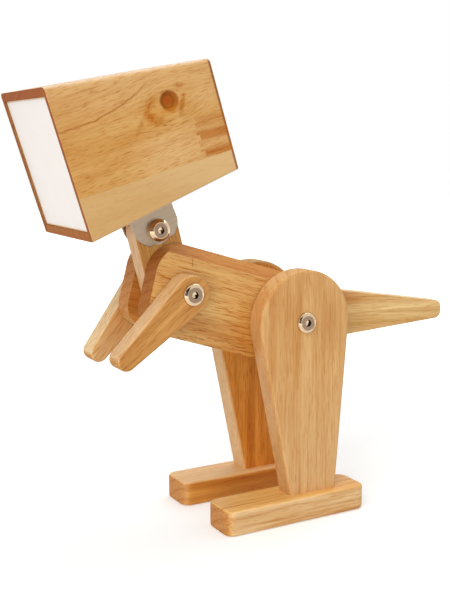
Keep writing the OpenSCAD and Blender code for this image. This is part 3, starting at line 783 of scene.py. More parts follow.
print("taper of the head in degrees:", round(math.degrees(TAPER), 3))

# %% [markdown]
# The near side of the head is the lamp's showpiece. It is glued from two staves, the lower one
# plain and pale, and the upper one with a round knot that the grain flows round. A short darker
# piece is finger-jointed on behind it, so its end is stepped. The flow is made by squeezing the
# pattern's coordinates near the knot, and each stave starts the pattern somewhere else.

# %% Staves of the head
KNOT_X, KNOT_Z = 21.5, 23.0
GLUE_LINE, GLUE_SLOPE = -26.6, 0.022
JOINT_X, JOINT_TOP, FINGER, FINGER_REACH = 36, 5, 4.4, 4.0
FLOW_HALF, FLOW_SQUEEZE, GRAIN_SLANT = (26, 17), -0.8, 0.04
LOWER_START, JOINT_START = 430, 910


def staves(tree, board):
    """1 in the lower stave, and 1 in the jointed piece."""
    along, _, up = places(tree, board)
    tilted = calc(tree, "MULTIPLY_ADD", along, GLUE_SLOPE, up)
    lower = calc(tree, "LESS_THAN", tilted, GLUE_LINE)
    finger = calc(tree, "SNAP", up, FINGER)
    finger = add(tree, "TexWhiteNoise", {"W": finger}, noise_dimensions="1D")
    tip = calc(tree, "MULTIPLY_ADD", finger.outputs["Value"], FINGER_REACH, JOINT_X)
    behind = calc(tree, "GREATER_THAN", along, tip)
    below = calc(tree, "LESS_THAN", up, JOINT_TOP)
    either = calc(tree, "SUBTRACT", below, lower)
    joint = calc(tree, "MULTIPLY", behind, either)
    return lower, joint


def knot_flow(tree, board):
    """Coordinates along the fibres, which part round the knot and start anew in each stave."""
    along, out, up = places(tree, board)
    lower, joint = staves(tree, board)
    away = add(tree, "VectorMath", {0: board, 1: (KNOT_X, 0, KNOT_Z)}, operation="SUBTRACT").outputs[0]
    near = add(tree, "VectorMath", {0: away, 1: (1 / FLOW_HALF[0], 0, 1 / FLOW_HALF[1])},
               operation="MULTIPLY")
    near = add(tree, "VectorMath", {0: near.outputs[0], 1: near.outputs[0]}, operation="DOT_PRODUCT")
    near = calc(tree, "MULTIPLY", near.outputs["Value"], -1)
    near = calc(tree, "EXPONENT", near)
    squeeze = calc(tree, "MULTIPLY", near, FLOW_SQUEEZE)
    z = calc(tree, "MULTIPLY_ADD", squeeze, places(tree, away)[2], up)
    slant = calc(tree, "MULTIPLY_ADD", lower, GRAIN_SLANT, -GRAIN_SLANT)
    z = calc(tree, "MULTIPLY_ADD", along, slant, z)
    x = calc(tree, "MULTIPLY_ADD", lower, LOWER_START, along)
    x = calc(tree, "MULTIPLY_ADD", joint, JOINT_START, x)
    return add(tree, "CombineXYZ", {"X": x, "Y": out, "Z": z}).outputs[0]


def plain_stave(tree, board):
    """Strength of the figure: much weaker in the lower stave."""
    return ramp(tree, staves(tree, board)[0], 0, 1, 0.3, low=1.0)


print("knot", KNOT_X, "mm behind and", KNOT_Z, "mm above the middle of the head")

# %% [markdown]
# The jointed piece has dark bands that lean a little, with ragged edges. It gets a ground of fine
# stripes first, and then each band by its height on the board.

# %% Bands of the jointed piece
# Sizes of the stripes in mm.
STRIPE = (40, 1.6, 1.6)
BAND_LEAN, BAND_RAGGED = 0.08, 5.0
# Height, half width and depth of each dark band.
BANDS = ((1.2, 4.0, 0.3), (-9.5, 3.4, 0.75), (-23.2, 2.8, 0.75))


def joint_bands(tree, board, joint):
    """Shares of the darker tone in the jointed piece: a striped ground, and the bands."""
    along, _, up = places(tree, board)
    stripes = stretched(tree, board, STRIPE)
    shares = [ramp(tree, stripes, 0.4, 0.62, 0.35, low=0.05)]
    lean = calc(tree, "MULTIPLY_ADD", along, BAND_LEAN, up)
    for height, half, depth in BANDS:
        gap = off(tree, lean, height + BAND_LEAN * JOINT_X)
        gap = calc(tree, "MULTIPLY_ADD", stripes, BAND_RAGGED, gap)
        shares.append(ramp(tree, gap, half + 3.5, half + 1.0, depth))
    return [calc(tree, "MULTIPLY", joint, share) for share in shares]


print("dark bands:", len(BANDS))

# %% [markdown]
# The staves have broad zones of their own: the upper one is paler at the top and in two pools, and
# browner in front. One long growth line rises towards the knot, and a dark band along the rear edge
# is painted shade. Each zone is a share between 0 and 1 with the tone that it pulls the wood towards.

# %% Tones of the staves
# Place, half length, half width and depth of each broad pale zone.
POOLS = ((18, -16, 55, 26, 0.55), (54, 19, 20, 15, 0.4))
LINE_START, LINE_CURVE, LINE_HEIGHT, LINE_RIPPLE = 60, 0.0034, 26.5, 4.0


def growth_line(tree, along, up, ripple):
    """Share of a long growth line that curves up towards the knot and ends before it."""
    run = calc(tree, "ADD", along, LINE_START)
    rise = calc(tree, "MULTIPLY", run, run)
    line = calc(tree, "MULTIPLY_ADD", rise, -LINE_CURVE, up)
    line = calc(tree, "MULTIPLY_ADD", ripple, LINE_RIPPLE, line)
    ahead = ramp(tree, along, 14, -10, 0.65)
    return ramp(tree, off(tree, line, LINE_HEIGHT), 1.1, 0.2, ahead)


def stave_tones(tree, board, ripple):
    """Shares and tones of the staves, the growth line, the painted shade of the rear edge and the jointed
    piece.
    """
    along, _, up = places(tree, board)
    lower, joint = staves(tree, board)
    upper = ramp(tree, up, 15, 50, 0.35)
    front = ramp(tree, along, -25, -60, 0.32)
    front = ramp(tree, up, 6, 16, front)
    tones = [(upper, "#EACA9C"), (front, "#BE8440")]
    for x, z, long, wide, depth in POOLS:
        gap = oval(tree, board, (x, z), (long, wide))
        tones.append((ramp(tree, gap, 1.0, 0.1, depth), "#E8C490"))
    plain = calc(tree, "MULTIPLY", lower, 0.6)
    rear = ramp(tree, along, -15, 60, 0.45)
    rear = calc(tree, "MULTIPLY", lower, rear)
    # Painted shade along the rear edge of the side.
    rear_edge_shade = ramp(tree, along, BACK - 2.7, BACK - 1.9, 0.85)
    tones += [(plain, "#CBA876"), (rear, "#E8C490"), (growth_line(tree, along, up, ripple), "#A05A10"),
              (rear_edge_shade, "#8C4A1E")]
    return tones + [(share, "#B4691F") for share in joint_bands(tree, board, joint)]


print("pale zones:", len(POOLS))

# %% [markdown]
# The stains round the knot are soft strokes, each an oval with its place, length, width and slope,
# broken up by noise. A curl of darker grain bends round to the left of them.

# %% Stains beside the knot
CURL_X, CURL_Z, CURL_RADIUS, CURL_RIPPLE, SPECKLE = 10.5, 18.3, 11.0, 5.0, 2.5
# Place, half length, half width, slope in degrees, depth and tone of each stain.
STAINS = (
    (12, 17, 20, 13, 20, 0.4, "#C98A34"), (4.5, 14, 9, 5, -40, 0.6, "#C07A22"),
    (18, 15.5, 8, 3.2, 0, 0.5, "#CC8628"), (31.3, 17.8, 10, 2.6, 62, 0.95, "#B06A1C"),
    (33, 32.3, 6, 2.4, -12, 0.6, "#AE6218"), (-7, 11.5, 11, 2.2, 50, 0.5, "#AE6218"),
    (5, 1.6, 4, 1.3, 10, 0.4, "#AE6218"), (4.1, 23.6, 1.7, 1.2, 60, 0.9, "#8E4E14"),
    (12.5, 6.4, 1.8, 1.1, 0, 0.85, "#8E4E14"), (18.5, 8.4, 5, 0.9, 2, 0.7, "#A8662A"),
    (28.9, 4.1, 5.5, 0.9, 8, 0.6, "#A8662A"),
)


def apart(tree, board, x, z):
    """Distance from a place on the face of the board, in millimetres."""
    gap = add(tree, "VectorMath", {0: board, 1: (x, 0, z)}, operation="SUBTRACT")
    gap = add(tree, "VectorMath", {0: gap.outputs[0], 1: (1, 0, 1)}, operation="MULTIPLY")
    return add(tree, "VectorMath", {0: gap.outputs[0]}, operation="LENGTH").outputs["Value"]


def stain_strokes(tree, board, ripple):
    """Shares and tones of the strokes and of the curl beside the knot, broken up by a speckle."""
    speckle = add(tree, "TexNoise", {"Vector": board, "Scale": 1 / SPECKLE, "Detail": 2.0}).outputs[0]
    tones = []
    for x, z, long, wide, slope, depth, tone in STAINS:
        gap = oval(tree, board, (x, z), (long, wide), slope)
        broken = ramp(tree, speckle, 0.35, 0.6, depth, low=0.5 * depth)
        tones.append((ramp(tree, gap, 1.1, 0.4, broken), tone))
    gap = apart(tree, board, CURL_X, CURL_Z)
    curl = calc(tree, "MULTIPLY_ADD", ripple, CURL_RIPPLE, gap)
    broken = ramp(tree, speckle, 0.3, 0.55, 0.85, low=0.4)
    side = ramp(tree, places(tree, board)[0], 15, 6, broken)
    curl = ramp(tree, off(tree, curl, CURL_RADIUS), 4.2, 0.4, side)
    return [*tones, (curl, "#B46A1C")]


print("stains:", len(STAINS))

# %% [markdown]
# The knot is the root of a branch, cut across: a brown disc with a dark upper rim, a lower half that
# glows amber, and a dark ring round a redder heart. The parts are drawn by their distance from the
# middle, and only inside the disc. The tones of the staves and the stains come before them.

# %% Knot
KNOT_RIPPLE, RING_RADIUS, RIPPLE_SIZE = 3.0, 4.9, 9


def knot_rings(tree, board, ripple):
    """Shares and tones of the knot: its disc, and then the parts inside it."""
    far = apart(tree, board, KNOT_X, KNOT_Z)
    far = calc(tree, "MULTIPLY_ADD", ripple, KNOT_RIPPLE, far)
    core = ramp(tree, far, 10.2, 8.0, 0.95)
    amber = ramp(tree, places(tree, board)[2], KNOT_Z - 2, KNOT_Z - 7, 0.8)
    lower = apart(tree, board, KNOT_X + 1.4, KNOT_Z - 2.0)
    rim = ramp(tree, lower, 5.5, 9.0, 0.8)
    near = apart(tree, board, KNOT_X - 1.6, KNOT_Z + 0.2)
    ring = ramp(tree, off(tree, near, RING_RADIUS), 1.8, 0.2, 0.6)
    knot_heart_and_slot_shade = ramp(tree, near, 4.2, 2.0, 0.85)
    parts = ((amber, "#CC7E1C"), (rim, "#823E00"), (ring, "#7C3C00"), (knot_heart_and_slot_shade, "#A44C06"))
    return [(core, "#A0560A"), *[(calc(tree, "MULTIPLY", part, core), tone) for part, tone in parts]]


def knot_stain(tree, board):
    """Tones of the staves, the stains and the knot, in turn."""
    ripple = add(tree, "TexNoise", {"Vector": board, "Scale": 1 / RIPPLE_SIZE, "Detail": 2.0}).outputs[0]
    return [layer for part in (stave_tones, stain_strokes, knot_rings) for layer in part(tree, board, ripple)]


print("dark ring in the knot:", RING_RADIUS, "mm from its heart")

# %% [markdown]
# The sides of the head carry that pattern, with a painted highlight on their pale narrow edges. Their
# upper edges are rounded well and the others are only eased. The faces that look into the box are in
# its shade, and are painted a darker grey brown with no gloss.

# %% Sides of the head
TOP_RIM, LOW_RIM, MOUTH_EASE, REAR_EASE = 4, 1.5, 0.5, 1.2
# Dark end grain of the head, and the painted shade of the faces inside it.
END_OF_HEAD, INSIDE_HEAD = "#9C5A24", ("#9A7048", "#8C623C")
HEAD_LAYERS = {"wander": (3, 50, 1.0), "band": (8, 12, 2.5), "line": (16, 1.0, 2.0), "pore": (9, 0.75, 0.7)}
for side, sign, seed, special in (
    ("left", -1, 11.2, (knot_flow, knot_stain, plain_stave)),
    ("right", 1, 12.7, ()),
):
    outline = [(x, MID + up * half_height(x)) for x in (FRONT, BACK) for up in (-1, 1)]
    y_lo, y_hi = sorted((sign * SIDE_IN, sign * SIDE_OUT))
    bm = level_board(outline, y_lo, y_hi)
    outer = [e for e in edges_along(bm, (1, 0, 0)) if sign * e.verts[0].co.y > (SIDE_IN + 1) * MM]
    top = [e for e in outer if e.verts[0].co.z > MID * MM]
    low = [e for e in outer if e.verts[0].co.z < MID * MM]
    round_over(bm, top, TOP_RIM, segments=6)
    round_over(bm, low, LOW_RIM)
    round_over(bm, rim_of(bm, (-1, 0, 0)), MOUTH_EASE, segments=2)
    round_over(bm, rim_of(bm, (1, 0, 0)), REAR_EASE, segments=3)
    for face in bm.faces:
        if -sign * face.normal.y > 0.3:
            face.material_index = 1
    move(bm, IN_HEAD)
    # Thinly lacquered board: matt gold with short brown pores, dark ends, and a painted highlight on its pale
    # narrow edges.
    timber = rubberwood("head " + side + " rubberwood", HEAD_TILT, head_centre, seed, "#D3A564", "#C38B43",
                        END_OF_HEAD, "#E6D4BB", 0.5, HEAD_LAYERS, (0.1, 0.4, 0.5), *special)
    # Inner face: painted shade, dull and grey brown.
    shaded = rubberwood("head " + side + " inner rubberwood", HEAD_TILT, head_centre, seed, *INSIDE_HEAD,
                        END_OF_HEAD, gloss=0)
    keep(bm, "head_" + side + "_board", "head", "rubberwood", [timber, shaded], "head_" + side + "_panel")

# %% [markdown]
# Top and bottom of the head are plain boards between the sides. Their edges are only broken, so that
# a fine line shows at each joint.

# %% Top and bottom of the head
BROKEN_EDGE = 0.3


def room(x):
    """Half the height inside the head at a place along it."""
    return half_height(x) - DECK / math.cos(TAPER)


for name, node, up, seed, pale, deep, end in (
    ("top", "head_top_board", 1, 13.1, "#E9C792", "#D6A868", "#9E561F"),
    ("bottom", "head_bottom_board", -1, 14.9, "#D8A65C", "#B97C36", "#A96626"),
):
    outer = [(x, MID + up * half_height(x)) for x in (FRONT, BACK)]
    inner = [(x, MID + up * room(x)) for x in (FRONT, BACK)]
    bm = level_board(outer + inner, -SIDE_IN, SIDE_IN)
    round_over(bm, bm.edges[:], BROKEN_EDGE, segments=2)
    for face in bm.faces:
        if -up * face.normal.z > 0.3:
            face.material_index = 1
    move(bm, IN_HEAD)
    grain = HEAD_TILT - up * math.degrees(TAPER)
    # Lacquered outside: silky, and a dark red-brown where the front end is cut across. The top board's paler
    # tones are a painted highlight.
    timber = rubberwood("head " + name + " rubberwood", grain, head_centre, seed, pale, deep, end)
    # Inside: painted shade, dull and grey brown, like the sides.
    shaded = rubberwood("head " + name + " inner rubberwood", grain, head_centre, seed, *INSIDE_HEAD, end,
                        gloss=0)
    keep(bm, "head_" + name + "_deck", "head", "rubberwood", [timber, shaded], node)

# %% [markdown]
# The back of the head is shaped and drilled lying flat, with holes for a switch, the gland of the
# lead and four screws, and then stood up at the rear.

# %% Back of the head
BACK_IN = BACK - DECK
SWITCH_Z, GLAND_Z = MID + 14, MID - 22
SWITCH_HOLE, GLAND_HOLE, SCREW_HOLE = 6.55, 5.05, 3.95
BACK_SCREWS = [(y, MID + up) for y in (-43.7, 43.7) for up in (-22.25, 22.25)]
OUT_OF_BACK = Matrix.Rotation(math.radians(-90), 4, "Z")


def on_back(bm, y, z):
    """Stand a turned piece on the back of the head, its axis pointing out."""
    place = IN_HEAD @ Matrix.Translation(Vector((BACK, y, z)) * MM) @ OUT_OF_BACK
    move(bm, place)


bm = bmesh.new()
for y, x in ((-DECK, BACK_IN), (0, BACK)):
    for side in (-1, 1):
        for up in (-1, 1):
            bm.verts.new(Vector((side * SIDE_IN, y, MID + up * room(x))) * MM)
wrap(bm)
round_over(bm, bm.edges[:], BROKEN_EDGE, segments=2)
screw_holes = [(-y, z, SCREW_HOLE) for y, z in BACK_SCREWS]
drill(bm, [(0, SWITCH_Z, SWITCH_HOLE), (0, GLAND_Z, GLAND_HOLE), *screw_holes], -DECK, 0)
on_back(bm, 0, 0)
# Lacquered board with upright grain: the plain golden tone of the wood.
timber = rubberwood("head back rubberwood", UPRIGHT + HEAD_TILT, head_centre, 16.3)
keep(bm, "head_back_deck", "head", "rubberwood", [timber], "head_back_board")

# %% [markdown]
# The light panel is opal acrylic: milky white, satin, a little see-through, so some light goes in
# and spreads. Subsurface scattering gives that, and a faint cloudiness keeps it from looking
# like paint. Close to the boards it catches their warm light, and its rim is painted with that warm glow.

# %% Opal acrylic
# Sizes in mm of the clouds in its colour, and of the frost in its gloss, which is drawn coarser to show.
CLOUD, FROST = 22, 1.2
acrylics = []
# The first is the face, a soft milky white; the second is the rim, painted with the warm glow of light from
# the wood.
for name, pale, deep in (
    ("satin opal acrylic", "#EFE8E2", "#EBE2DB"),
    ("edge of opal acrylic", "#F2CDA6", "#ECC297"),
):
    acrylic, tree, shader = new_finish(name)
    where = add(tree, "TexCoord").outputs["Object"]
    cloud = add(tree, "TexNoise", {"Vector": where, "Scale": 1 / (CLOUD * MM), "Detail": 2.0})
    colour = blend(tree, cloud.outputs[0], pale, deep)
    frost = add(tree, "TexNoise", {"Vector": where, "Scale": 1 / (FROST * MM)})
    satin = ramp(tree, frost.outputs[0], 0, 1, 0.42, low=0.32)
    feed(tree, shader, {"Base Color": colour, "Roughness": satin, "IOR": 1.49, "Subsurface Weight": 0.15,
                        "Subsurface Radius": (1.0, 0.95, 0.9), "Subsurface Scale": 2 * MM})
    acrylics.append(acrylic)
print("finishes of the light panel:", len(acrylics))

# %% [markdown]
# The panel sits just behind the front edge of the head and follows its taper, with its own edges
# broken. Insetting its front face leaves a narrow ring of faces for the rim's painted warm glow.

# %% Light panel
PANEL_FRONT, PANEL_BACK, PANEL_GAP, PANEL_EASE, PANEL_RING = FRONT + 1.5, FRONT + 4.5, 0.05, 0.15, 1.4
corners = [(x, MID + up * (room(x) - PANEL_GAP)) for x in (PANEL_FRONT, PANEL_BACK) for up in (-1, 1)]
bm = level_board(corners, -SIDE_IN + PANEL_GAP, SIDE_IN - PANEL_GAP)
round_over(bm, bm.edges[:], PANEL_EASE, segments=2)
ring = bmesh.ops.inset_region(bm, faces=faces_towards(bm, (-1, 0, 0)), thickness=PANEL_RING * MM)["faces"]
for face in ring:
    face.material_index = 1
move(bm, IN_HEAD)
keep(bm, "light_panel", "head", "opal_acrylic", acrylics, "light_diffuser")

# %% [markdown]
# Metals and plastics have no grain like wood, but none is one flat colour either. A faint mottle
# between two close colours, at the size of the real haze, grit or brush lines, is enough for all of
# them. Stretching it gives lines, it can break up the gloss, and it can raise a fine skin.

# %% Helper for metals and plastics
SKIN = 0.05


def mottled(name, pale, deep, size, rough, ior=None, stretch=(1, 1, 1), turn=0, detail=2.0, skin=False):
    """Finish with a mottle of a size in mm between two colours; one without an IOR is a metal."""
    finish, tree, shader = new_finish(name)
    place = add(tree, "Mapping", {"Vector": add(tree, "TexCoord").outputs["Object"],
                                  "Rotation": (0, math.radians(turn), 0)}).outputs[0]
    mottle = stretched(tree, place, [size * times * MM for times in stretch], detail)
    if isinstance(rough, tuple):
        rough = ramp(tree, mottle, 0, 1, rough[1], low=rough[0])
    feed(tree, shader, {"Base Color": blend(tree, mottle, pale, deep), "Roughness": rough})
    feed(tree, shader, {"IOR": ior} if ior else {"Metallic": 1.0})
    if skin:
        relief = add(tree, "Bump", {"Height": mottle, "Strength": 0.3, "Distance": SKIN * MM})
        feed(tree, shader, {"Normal": relief.outputs[0]})
    print("finish:", name)
    return finish


print("raised skin:", SKIN, "mm")

# %% [markdown]
# The bracket that carries the head is a strip of satin steel, bent to a U and clipped at its lower
# corners. Its section is drawn once and extruded to its width; then the bends are rounded, planes
# clip the corners, and the cuts are closed.

# %% Bracket
# Brushing leaves fine lines across the strip, which show only as streaks in a soft gloss. Real ones
# are under 0.1 mm wide, and are drawn 0.6 mm wide so that they show.
steel = mottled("satin brushed steel", "#B4A28D", "#9D8B75", 0.6, (0.34, 0.5), stretch=(50, 1, 1), turn=23)
IN_BRACKET = IN_HEAD @ Matrix.Rotation(-TAPER, 4, "Y")
STRIP, STRIP_TOP, STRIP_LOW, STRIP_HALF, CLIP = 2, 25.2, -9.6, 20, 8
BEND, CLIP_ROUND, STRIP_EASE = 2.2, 5, 0.25
section = [(-SLOT - STRIP, STRIP_LOW), (-SLOT - STRIP, STRIP_TOP), (SLOT + STRIP, STRIP_TOP),
           (SLOT + STRIP, STRIP_LOW), (SLOT, STRIP_LOW), (SLOT, STRIP_TOP - STRIP),
           (-SLOT, STRIP_TOP - STRIP), (-SLOT, STRIP_LOW)]
bm = bmesh.new()
face = bm.faces.new([bm.verts.new(Vector((-STRIP_HALF, y, z)) * MM) for y, z in section])
drawn_out = bmesh.ops.extrude_face_region(bm, geom=[face])["geom"]
far_end = [v for v in drawn_out if isinstance(v, bmesh.types.BMVert)]
bmesh.ops.translate(bm, vec=(2 * STRIP_HALF * MM, 0, 0), verts=far_end)
bmesh.ops.recalc_face_normals(bm, faces=bm.faces[:])
bends = [e for e in edges_along(bm, (1, 0, 0)) if e.verts[0].co.z > (STRIP_TOP - 0.1) * MM]
round_over(bm, bends, BEND)
for end in (-1, 1):
    corner = Vector((end * STRIP_HALF, 0, STRIP_LOW + CLIP)) * MM
    plane_off(bm, corner, (end, 0, -1))
at_ends = [e for e in edges_along(bm, (0, 1, 0)) if abs(e.verts[0].co.x) > (STRIP_HALF - 0.1) * MM]
clipped = [e for e in at_ends if e.verts[0].co.z < (STRIP_LOW + CLIP + 0.1) * MM]
round_over(bm, clipped, CLIP_ROUND, segments=6)
sharp = [e for e in bm.edges if e.is_manifold and e.calc_face_angle() > math.radians(38)]
round_over(bm, sharp, STRIP_EASE, segments=2)
move(bm, IN_BRACKET)
keep(bm, "head_bracket_strip", "head", "satin_steel", [steel], "head_bracket")

# %% [markdown]
# The bolts and their sleeve nuts are turned, so a profile drawn from the tip of the shank to the
# face of the head is spun round its axis. The face is closed with a flat that has a socket in it:
# the walls of the socket are drawn down, and its floor is poked to the point that a drill leaves.

# %% Helpers for turned pieces
DRILL_POINT = 0.4


def turned_blank(profile, steps=64):
    """Spin a profile of (radius, height) in millimetres round the Y axis; its end stays open."""
    bm = bmesh.new()
    points = [bm.verts.new(Vector((radius, height, 0)) * MM) for radius, height in profile]
    sides = [bm.edges.new(pair) for pair in zip(points, points[1:])]
    bmesh.ops.spin(bm, geom=points + sides, cent=(0, 0, 0), axis=(0, 1, 0), angle=math.tau, steps=steps,
                   use_merge=True)
    bmesh.ops.remove_doubles(bm, verts=bm.verts[:], dist=0.001 * MM)
    return bm


def sink_socket(bm, outline, depth):
    """Close the open end of a turned piece with a flat face that has a socket in it."""
    ring = [e for e in bm.edges if e.is_boundary]
    level = ring[0].verts[0].co.y
    corners = [bm.verts.new((x * MM, level, z * MM)) for x, z in outline]
    mouth = [bm.edges.new(pair) for pair in zip(corners, corners[1:] + corners[:1])]
    bmesh.ops.triangle_fill(bm, use_beauty=True, edges=ring + mouth)
    wall = bmesh.ops.extrude_edge_only(bm, edges=mouth)["geom"]
    low_corners = [v for v in wall if isinstance(v, bmesh.types.BMVert)]
    bmesh.ops.translate(bm, vec=(0, -depth * MM, 0), verts=low_corners)
    low_edges = [e for e in wall if isinstance(e, bmesh.types.BMEdge) and e.is_boundary]
    base = bmesh.ops.contextual_create(bm, geom=low_edges)["faces"]
    point = bmesh.ops.poke(bm, faces=base)["verts"]
    bmesh.ops.translate(bm, vec=(0, -depth * DRILL_POINT * MM, 0), verts=point)


HEX_RADIUS, HEX_DEPTH = 3.2, 4.0
HEX = [(HEX_RADIUS * math.cos(math.radians(60 * i)), HEX_RADIUS * math.sin(math.radians(60 * i)))
       for i in range(6)]
print("hex socket corners:", len(HEX))

# %% [markdown]
# The bolts are nickel plated. The rim of each head is bright, and inside a fine groove its face is
# blasted matt. The walls of the socket are painted nearly black as the shade in the recess, while
# its drilled floor is bright again.

# %% Finishes of the bolts
# Plating on polished steel mirrors the room, a little warm, behind a thin haze.
nickel = mottled("bright nickel plate", "#E2C9A8", "#CDB394", 3, (0.10, 0.18))
# Blasting breaks the mirror up into an even soft grey. Real grit is 0.2 mm, and is drawn 0.7 mm wide.
blasted = mottled("blasted nickel plate", "#A48C75", "#88725F", 0.7, 0.45, skin=True)
# Painted shade of the deep socket: steel nearly black, with a dull smear of light.
painted_shade = mottled("oiled socket steel", "#5A4230", "#302014", 1.5, 0.4)

# %% [markdown]
# Every bolt goes through from the left and has its nut on the right, with a head of the same shape.
# The shoulder and the hip have low domed heads, and the head pivot has tall ones. The faces get
# their finish by how deep they lie below the top and how far out from the axis.

# %% Bolts
SHANK, SOCKET_RIM, FACE_RADIUS, WALL_RADIUS, AT_FACE = 4, 3.7, 6.2, 3, 0.05
LOW_CAP = [(9.2, 0), (9.2, 1.0), (9.05, 1.55), (8.6, 2.1), (8.0, 2.52), (7.4, 2.82), (6.9, 3), (6.7, 2.85),
           (6.5, 2.85), (6.3, 3)]
TALL_CAP = [(9.2, 0), (9.2, 3.1), (9.05, 3.8), (7.2, 5.65), (6.8, 5.95), (6.5, 6), (6.3, 5.85), (6.1, 5.85),
            (5.9, 6)]
for name, spot, reach, cap, body in (
    ("shoulder", shoulder, LIMB_OUT, LOW_CAP, "torso"),
    ("hip", hip, LIMB_OUT, LOW_CAP, "torso"),
    ("head", pivot, SLOT + STRIP, TALL_CAP, "head"),
):
    for part, sign, share in (("bolt", -1, 1.45), ("nut", 1, 0.5)):
        tip = reach * (1 - share)
        head = [(radius, reach + height) for radius, height in cap]
        top = head[-1][1]
        bm = turned_blank([(0, tip), (SHANK, tip), (SHANK, reach), *head, (SOCKET_RIM, top)])
        sink_socket(bm, HEX, HEX_DEPTH)
        for face in bm.faces:
            middle = face.calc_center_median()
            sunk, out = top - middle.y / MM, math.hypot(middle.x, middle.z) / MM
            if sunk < AT_FACE and out < FACE_RADIUS:
                face.material_index = 1
            # The walls of the socket get the painted shade.
            elif AT_FACE < sunk < HEX_DEPTH and out < WALL_RADIUS:
                face.material_index = 2
        bmesh.ops.scale(bm, vec=(1, sign, 1), verts=bm.verts[:])
        bmesh.ops.translate(bm, vec=Vector((spot[0], 0, spot[1])) * MM, verts=bm.verts[:])
        finishes = [nickel, blasted, painted_shade]
        keep(bm, name + "_" + part + "_turned", body, "nickel_hardware", finishes, name + "_" + part)

# %% [markdown]
# The back of the head has a push switch and the gland where the lead goes in, both moulded in black
# plastic with softened rims. The photograph doesn't show them. They are turned shapes as well, with
# the profile given from inside the head outwards.

# %% Switch and gland
# Moulded plastic has a fine grained skin that dulls its gloss. Real grain is 0.2 mm, drawn 0.5 mm.
black = mottled("moulded black plastic", "#1A1B1D", "#26272A", 0.5, (0.4, 0.55), ior=1.53, skin=True)
collar = turned_blank([(0, -15), (6.5, -15), (6.5, 0), (8.5, 0), (8.5, 0.8), (8.2, 1.3), (7.6, 1.6),
                       (5.2, 1.6), (4.75, 1.3), (4.55, 0.8), (4.55, -9.5), (0, -9.5)])
on_back(collar, 0, SWITCH_Z)
keep(collar, "switch_collar", "head", "black_plastic", [black], "switch_body")
button = turned_blank([(0, -7), (4.5, -7), (4.5, 3.0), (4.3, 3.35), (3.9, 3.5), (2.6, 3.4), (1.3, 3.25),
                       (0, 3.2)])
on_back(button, 0, SWITCH_Z)
keep(button, "push_button", "button", "black_plastic", [black], "switch_button")
gland = turned_blank([(3, -9), (5, -9), (5, 0), (7, 0), (7, 0.8), (6.7, 1.3), (6.1, 1.6), (3.9, 1.6),
                      (3.3, 1.4), (3, 0.9), (3, -9)])
on_back(gland, 0, GLAND_Z)
keep(gland, "lead_inlet_gland", "head", "black_plastic", [black], "lead_gland")

# %% [markdown]
# Four countersunk screws with a cross recess hold the back board, and two more go up through each
# foot. Each set is one piece, so the blanks are joined before they are kept.

# %% Screws
# Zinc plating is a cool cloudy grey, half bright.
zinc = mottled("zinc plate", "#C4C3BE", "#A6A7A8", 2, (0.25, 0.4), detail=3.0)
CROSS = [(0.45, 0.45), (0.45, 1.9), (-0.45, 1.9), (-0.45, 0.45), (-1.9, 0.45), (-1.9, -0.45), (-0.45, -0.45),
         (-0.45, -1.9), (0.45, -1.9), (0.45, -0.45), (1.9, -0.45), (1.9, 0.45)]
CROSS_DEPTH, BACK_SCREW, FOOT_SCREW, SOLE_SUNK = 1.2, 15, 45.4, 0.6


def screw_blank(length):
    """Countersunk screw with its face at height 0 and its tip below."""
    bm = turned_blank([(0, -length), (1.2, -length + 2), (2, -length + 4), (2, -2), (3.9, -0.1), (3.8, 0),
                       (2.6, 0)], steps=32)
    sink_socket(bm, CROSS, CROSS_DEPTH)
    return bm


def joined(blanks):
    """All blanks in one bmesh."""
    whole = bmesh.new()
    for blank in blanks:
        part = bpy.data.meshes.new("part")
        blank.to_mesh(part)
        blank.free()
        whole.from_mesh(part)
        bpy.data.meshes.remove(part)
    return whole


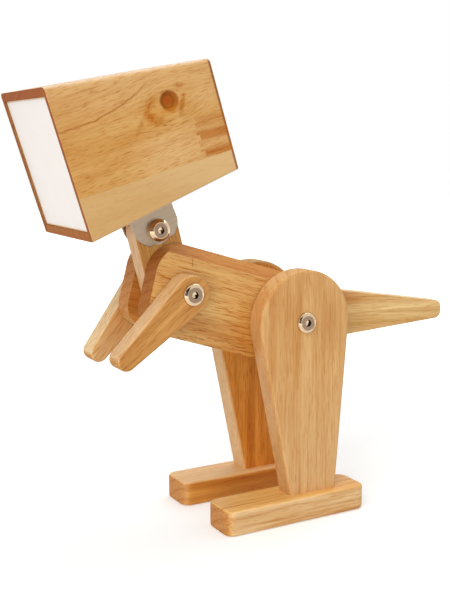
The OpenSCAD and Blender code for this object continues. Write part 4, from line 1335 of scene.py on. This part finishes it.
screws = []
for y, z in BACK_SCREWS:
    screws.append(screw_blank(BACK_SCREW))
    on_back(screws[-1], y, z)
keep(joined(screws), "back_board_screws", "head", "zinc_screws", [zinc], "back_screws")
for side, sign in (("left", -1), ("right", 1)):
    screws = []
    for ahead in (-1, 1):
        screw = screw_blank(FOOT_SCREW)
        under = Vector((ANKLE_X + ahead * ANKLE_WIDTH / 4, sign * LIMB_MID, SOLE_SUNK)) * MM
        upside_down = Matrix.Translation(under) @ Matrix.Rotation(math.radians(-90), 4, "X")
        move(screw, upside_down)
        screws.append(screw)
    keep(joined(screws), side + "_sole_screws", side + "_leg", "zinc_screws", [zinc], side + "_foot_screws")

# %% [markdown]
# The solids that stay as they are get finishes too, although most of them are hidden: nylon
# washers between the boards, the spacer and battens of plain wood, and the light's metal plate,
# LEDs, spacers and driver inside the head.

# %% Finishes of the solids that stay
# Nylon is milky white with a dull gloss.
nylon = mottled("natural nylon", "#D9D3C6", "#CBC4B5", 4, 0.45, ior=1.53)
# Aluminium as it leaves the mill is pale and satin, with faint lines from the rollers.
sheet = mottled("mill finish aluminium", "#D2D3D4", "#BEBFC1", 0.8, 0.35, stretch=(25, 1, 25))
# Turned brass is bright yellow, a little clouded by tarnish.
brass = mottled("turned brass", "#D9B96E", "#C29F55", 5, 0.25)
# The phosphor is a strong powdery yellow under a glossy drop of resin.
phosphor = mottled("LED phosphor under resin", "#E8C84A", "#D6AF2E", 0.6, 0.2, ior=1.52)
# Bare wood in the shade of the boards: the same pattern in a quieter tone.
inner = rubberwood("unlacquered inner rubberwood", UPRIGHT, (0, 0, 0), 17.5, "#CFA468", "#BA8448")
stays = {
    "arm_washers": nylon, "neck_washers": nylon, "leg_washers": nylon, "tail_washers": nylon,
    "head_washers": nylon, "body_spacer": inner, "spacer_dowels": inner, "back_battens": inner,
    "diffuser_frame": inner, "led_plate": sheet, "plate_spacers": brass, "leds": phosphor,
    "led_driver": black, "bracket_screws": zinc,
}
for name, finish in stays.items():
    for place in frame["nodes"][name].material_slots:
        place.material = finish
print("solids with a new finish:", len(stays))
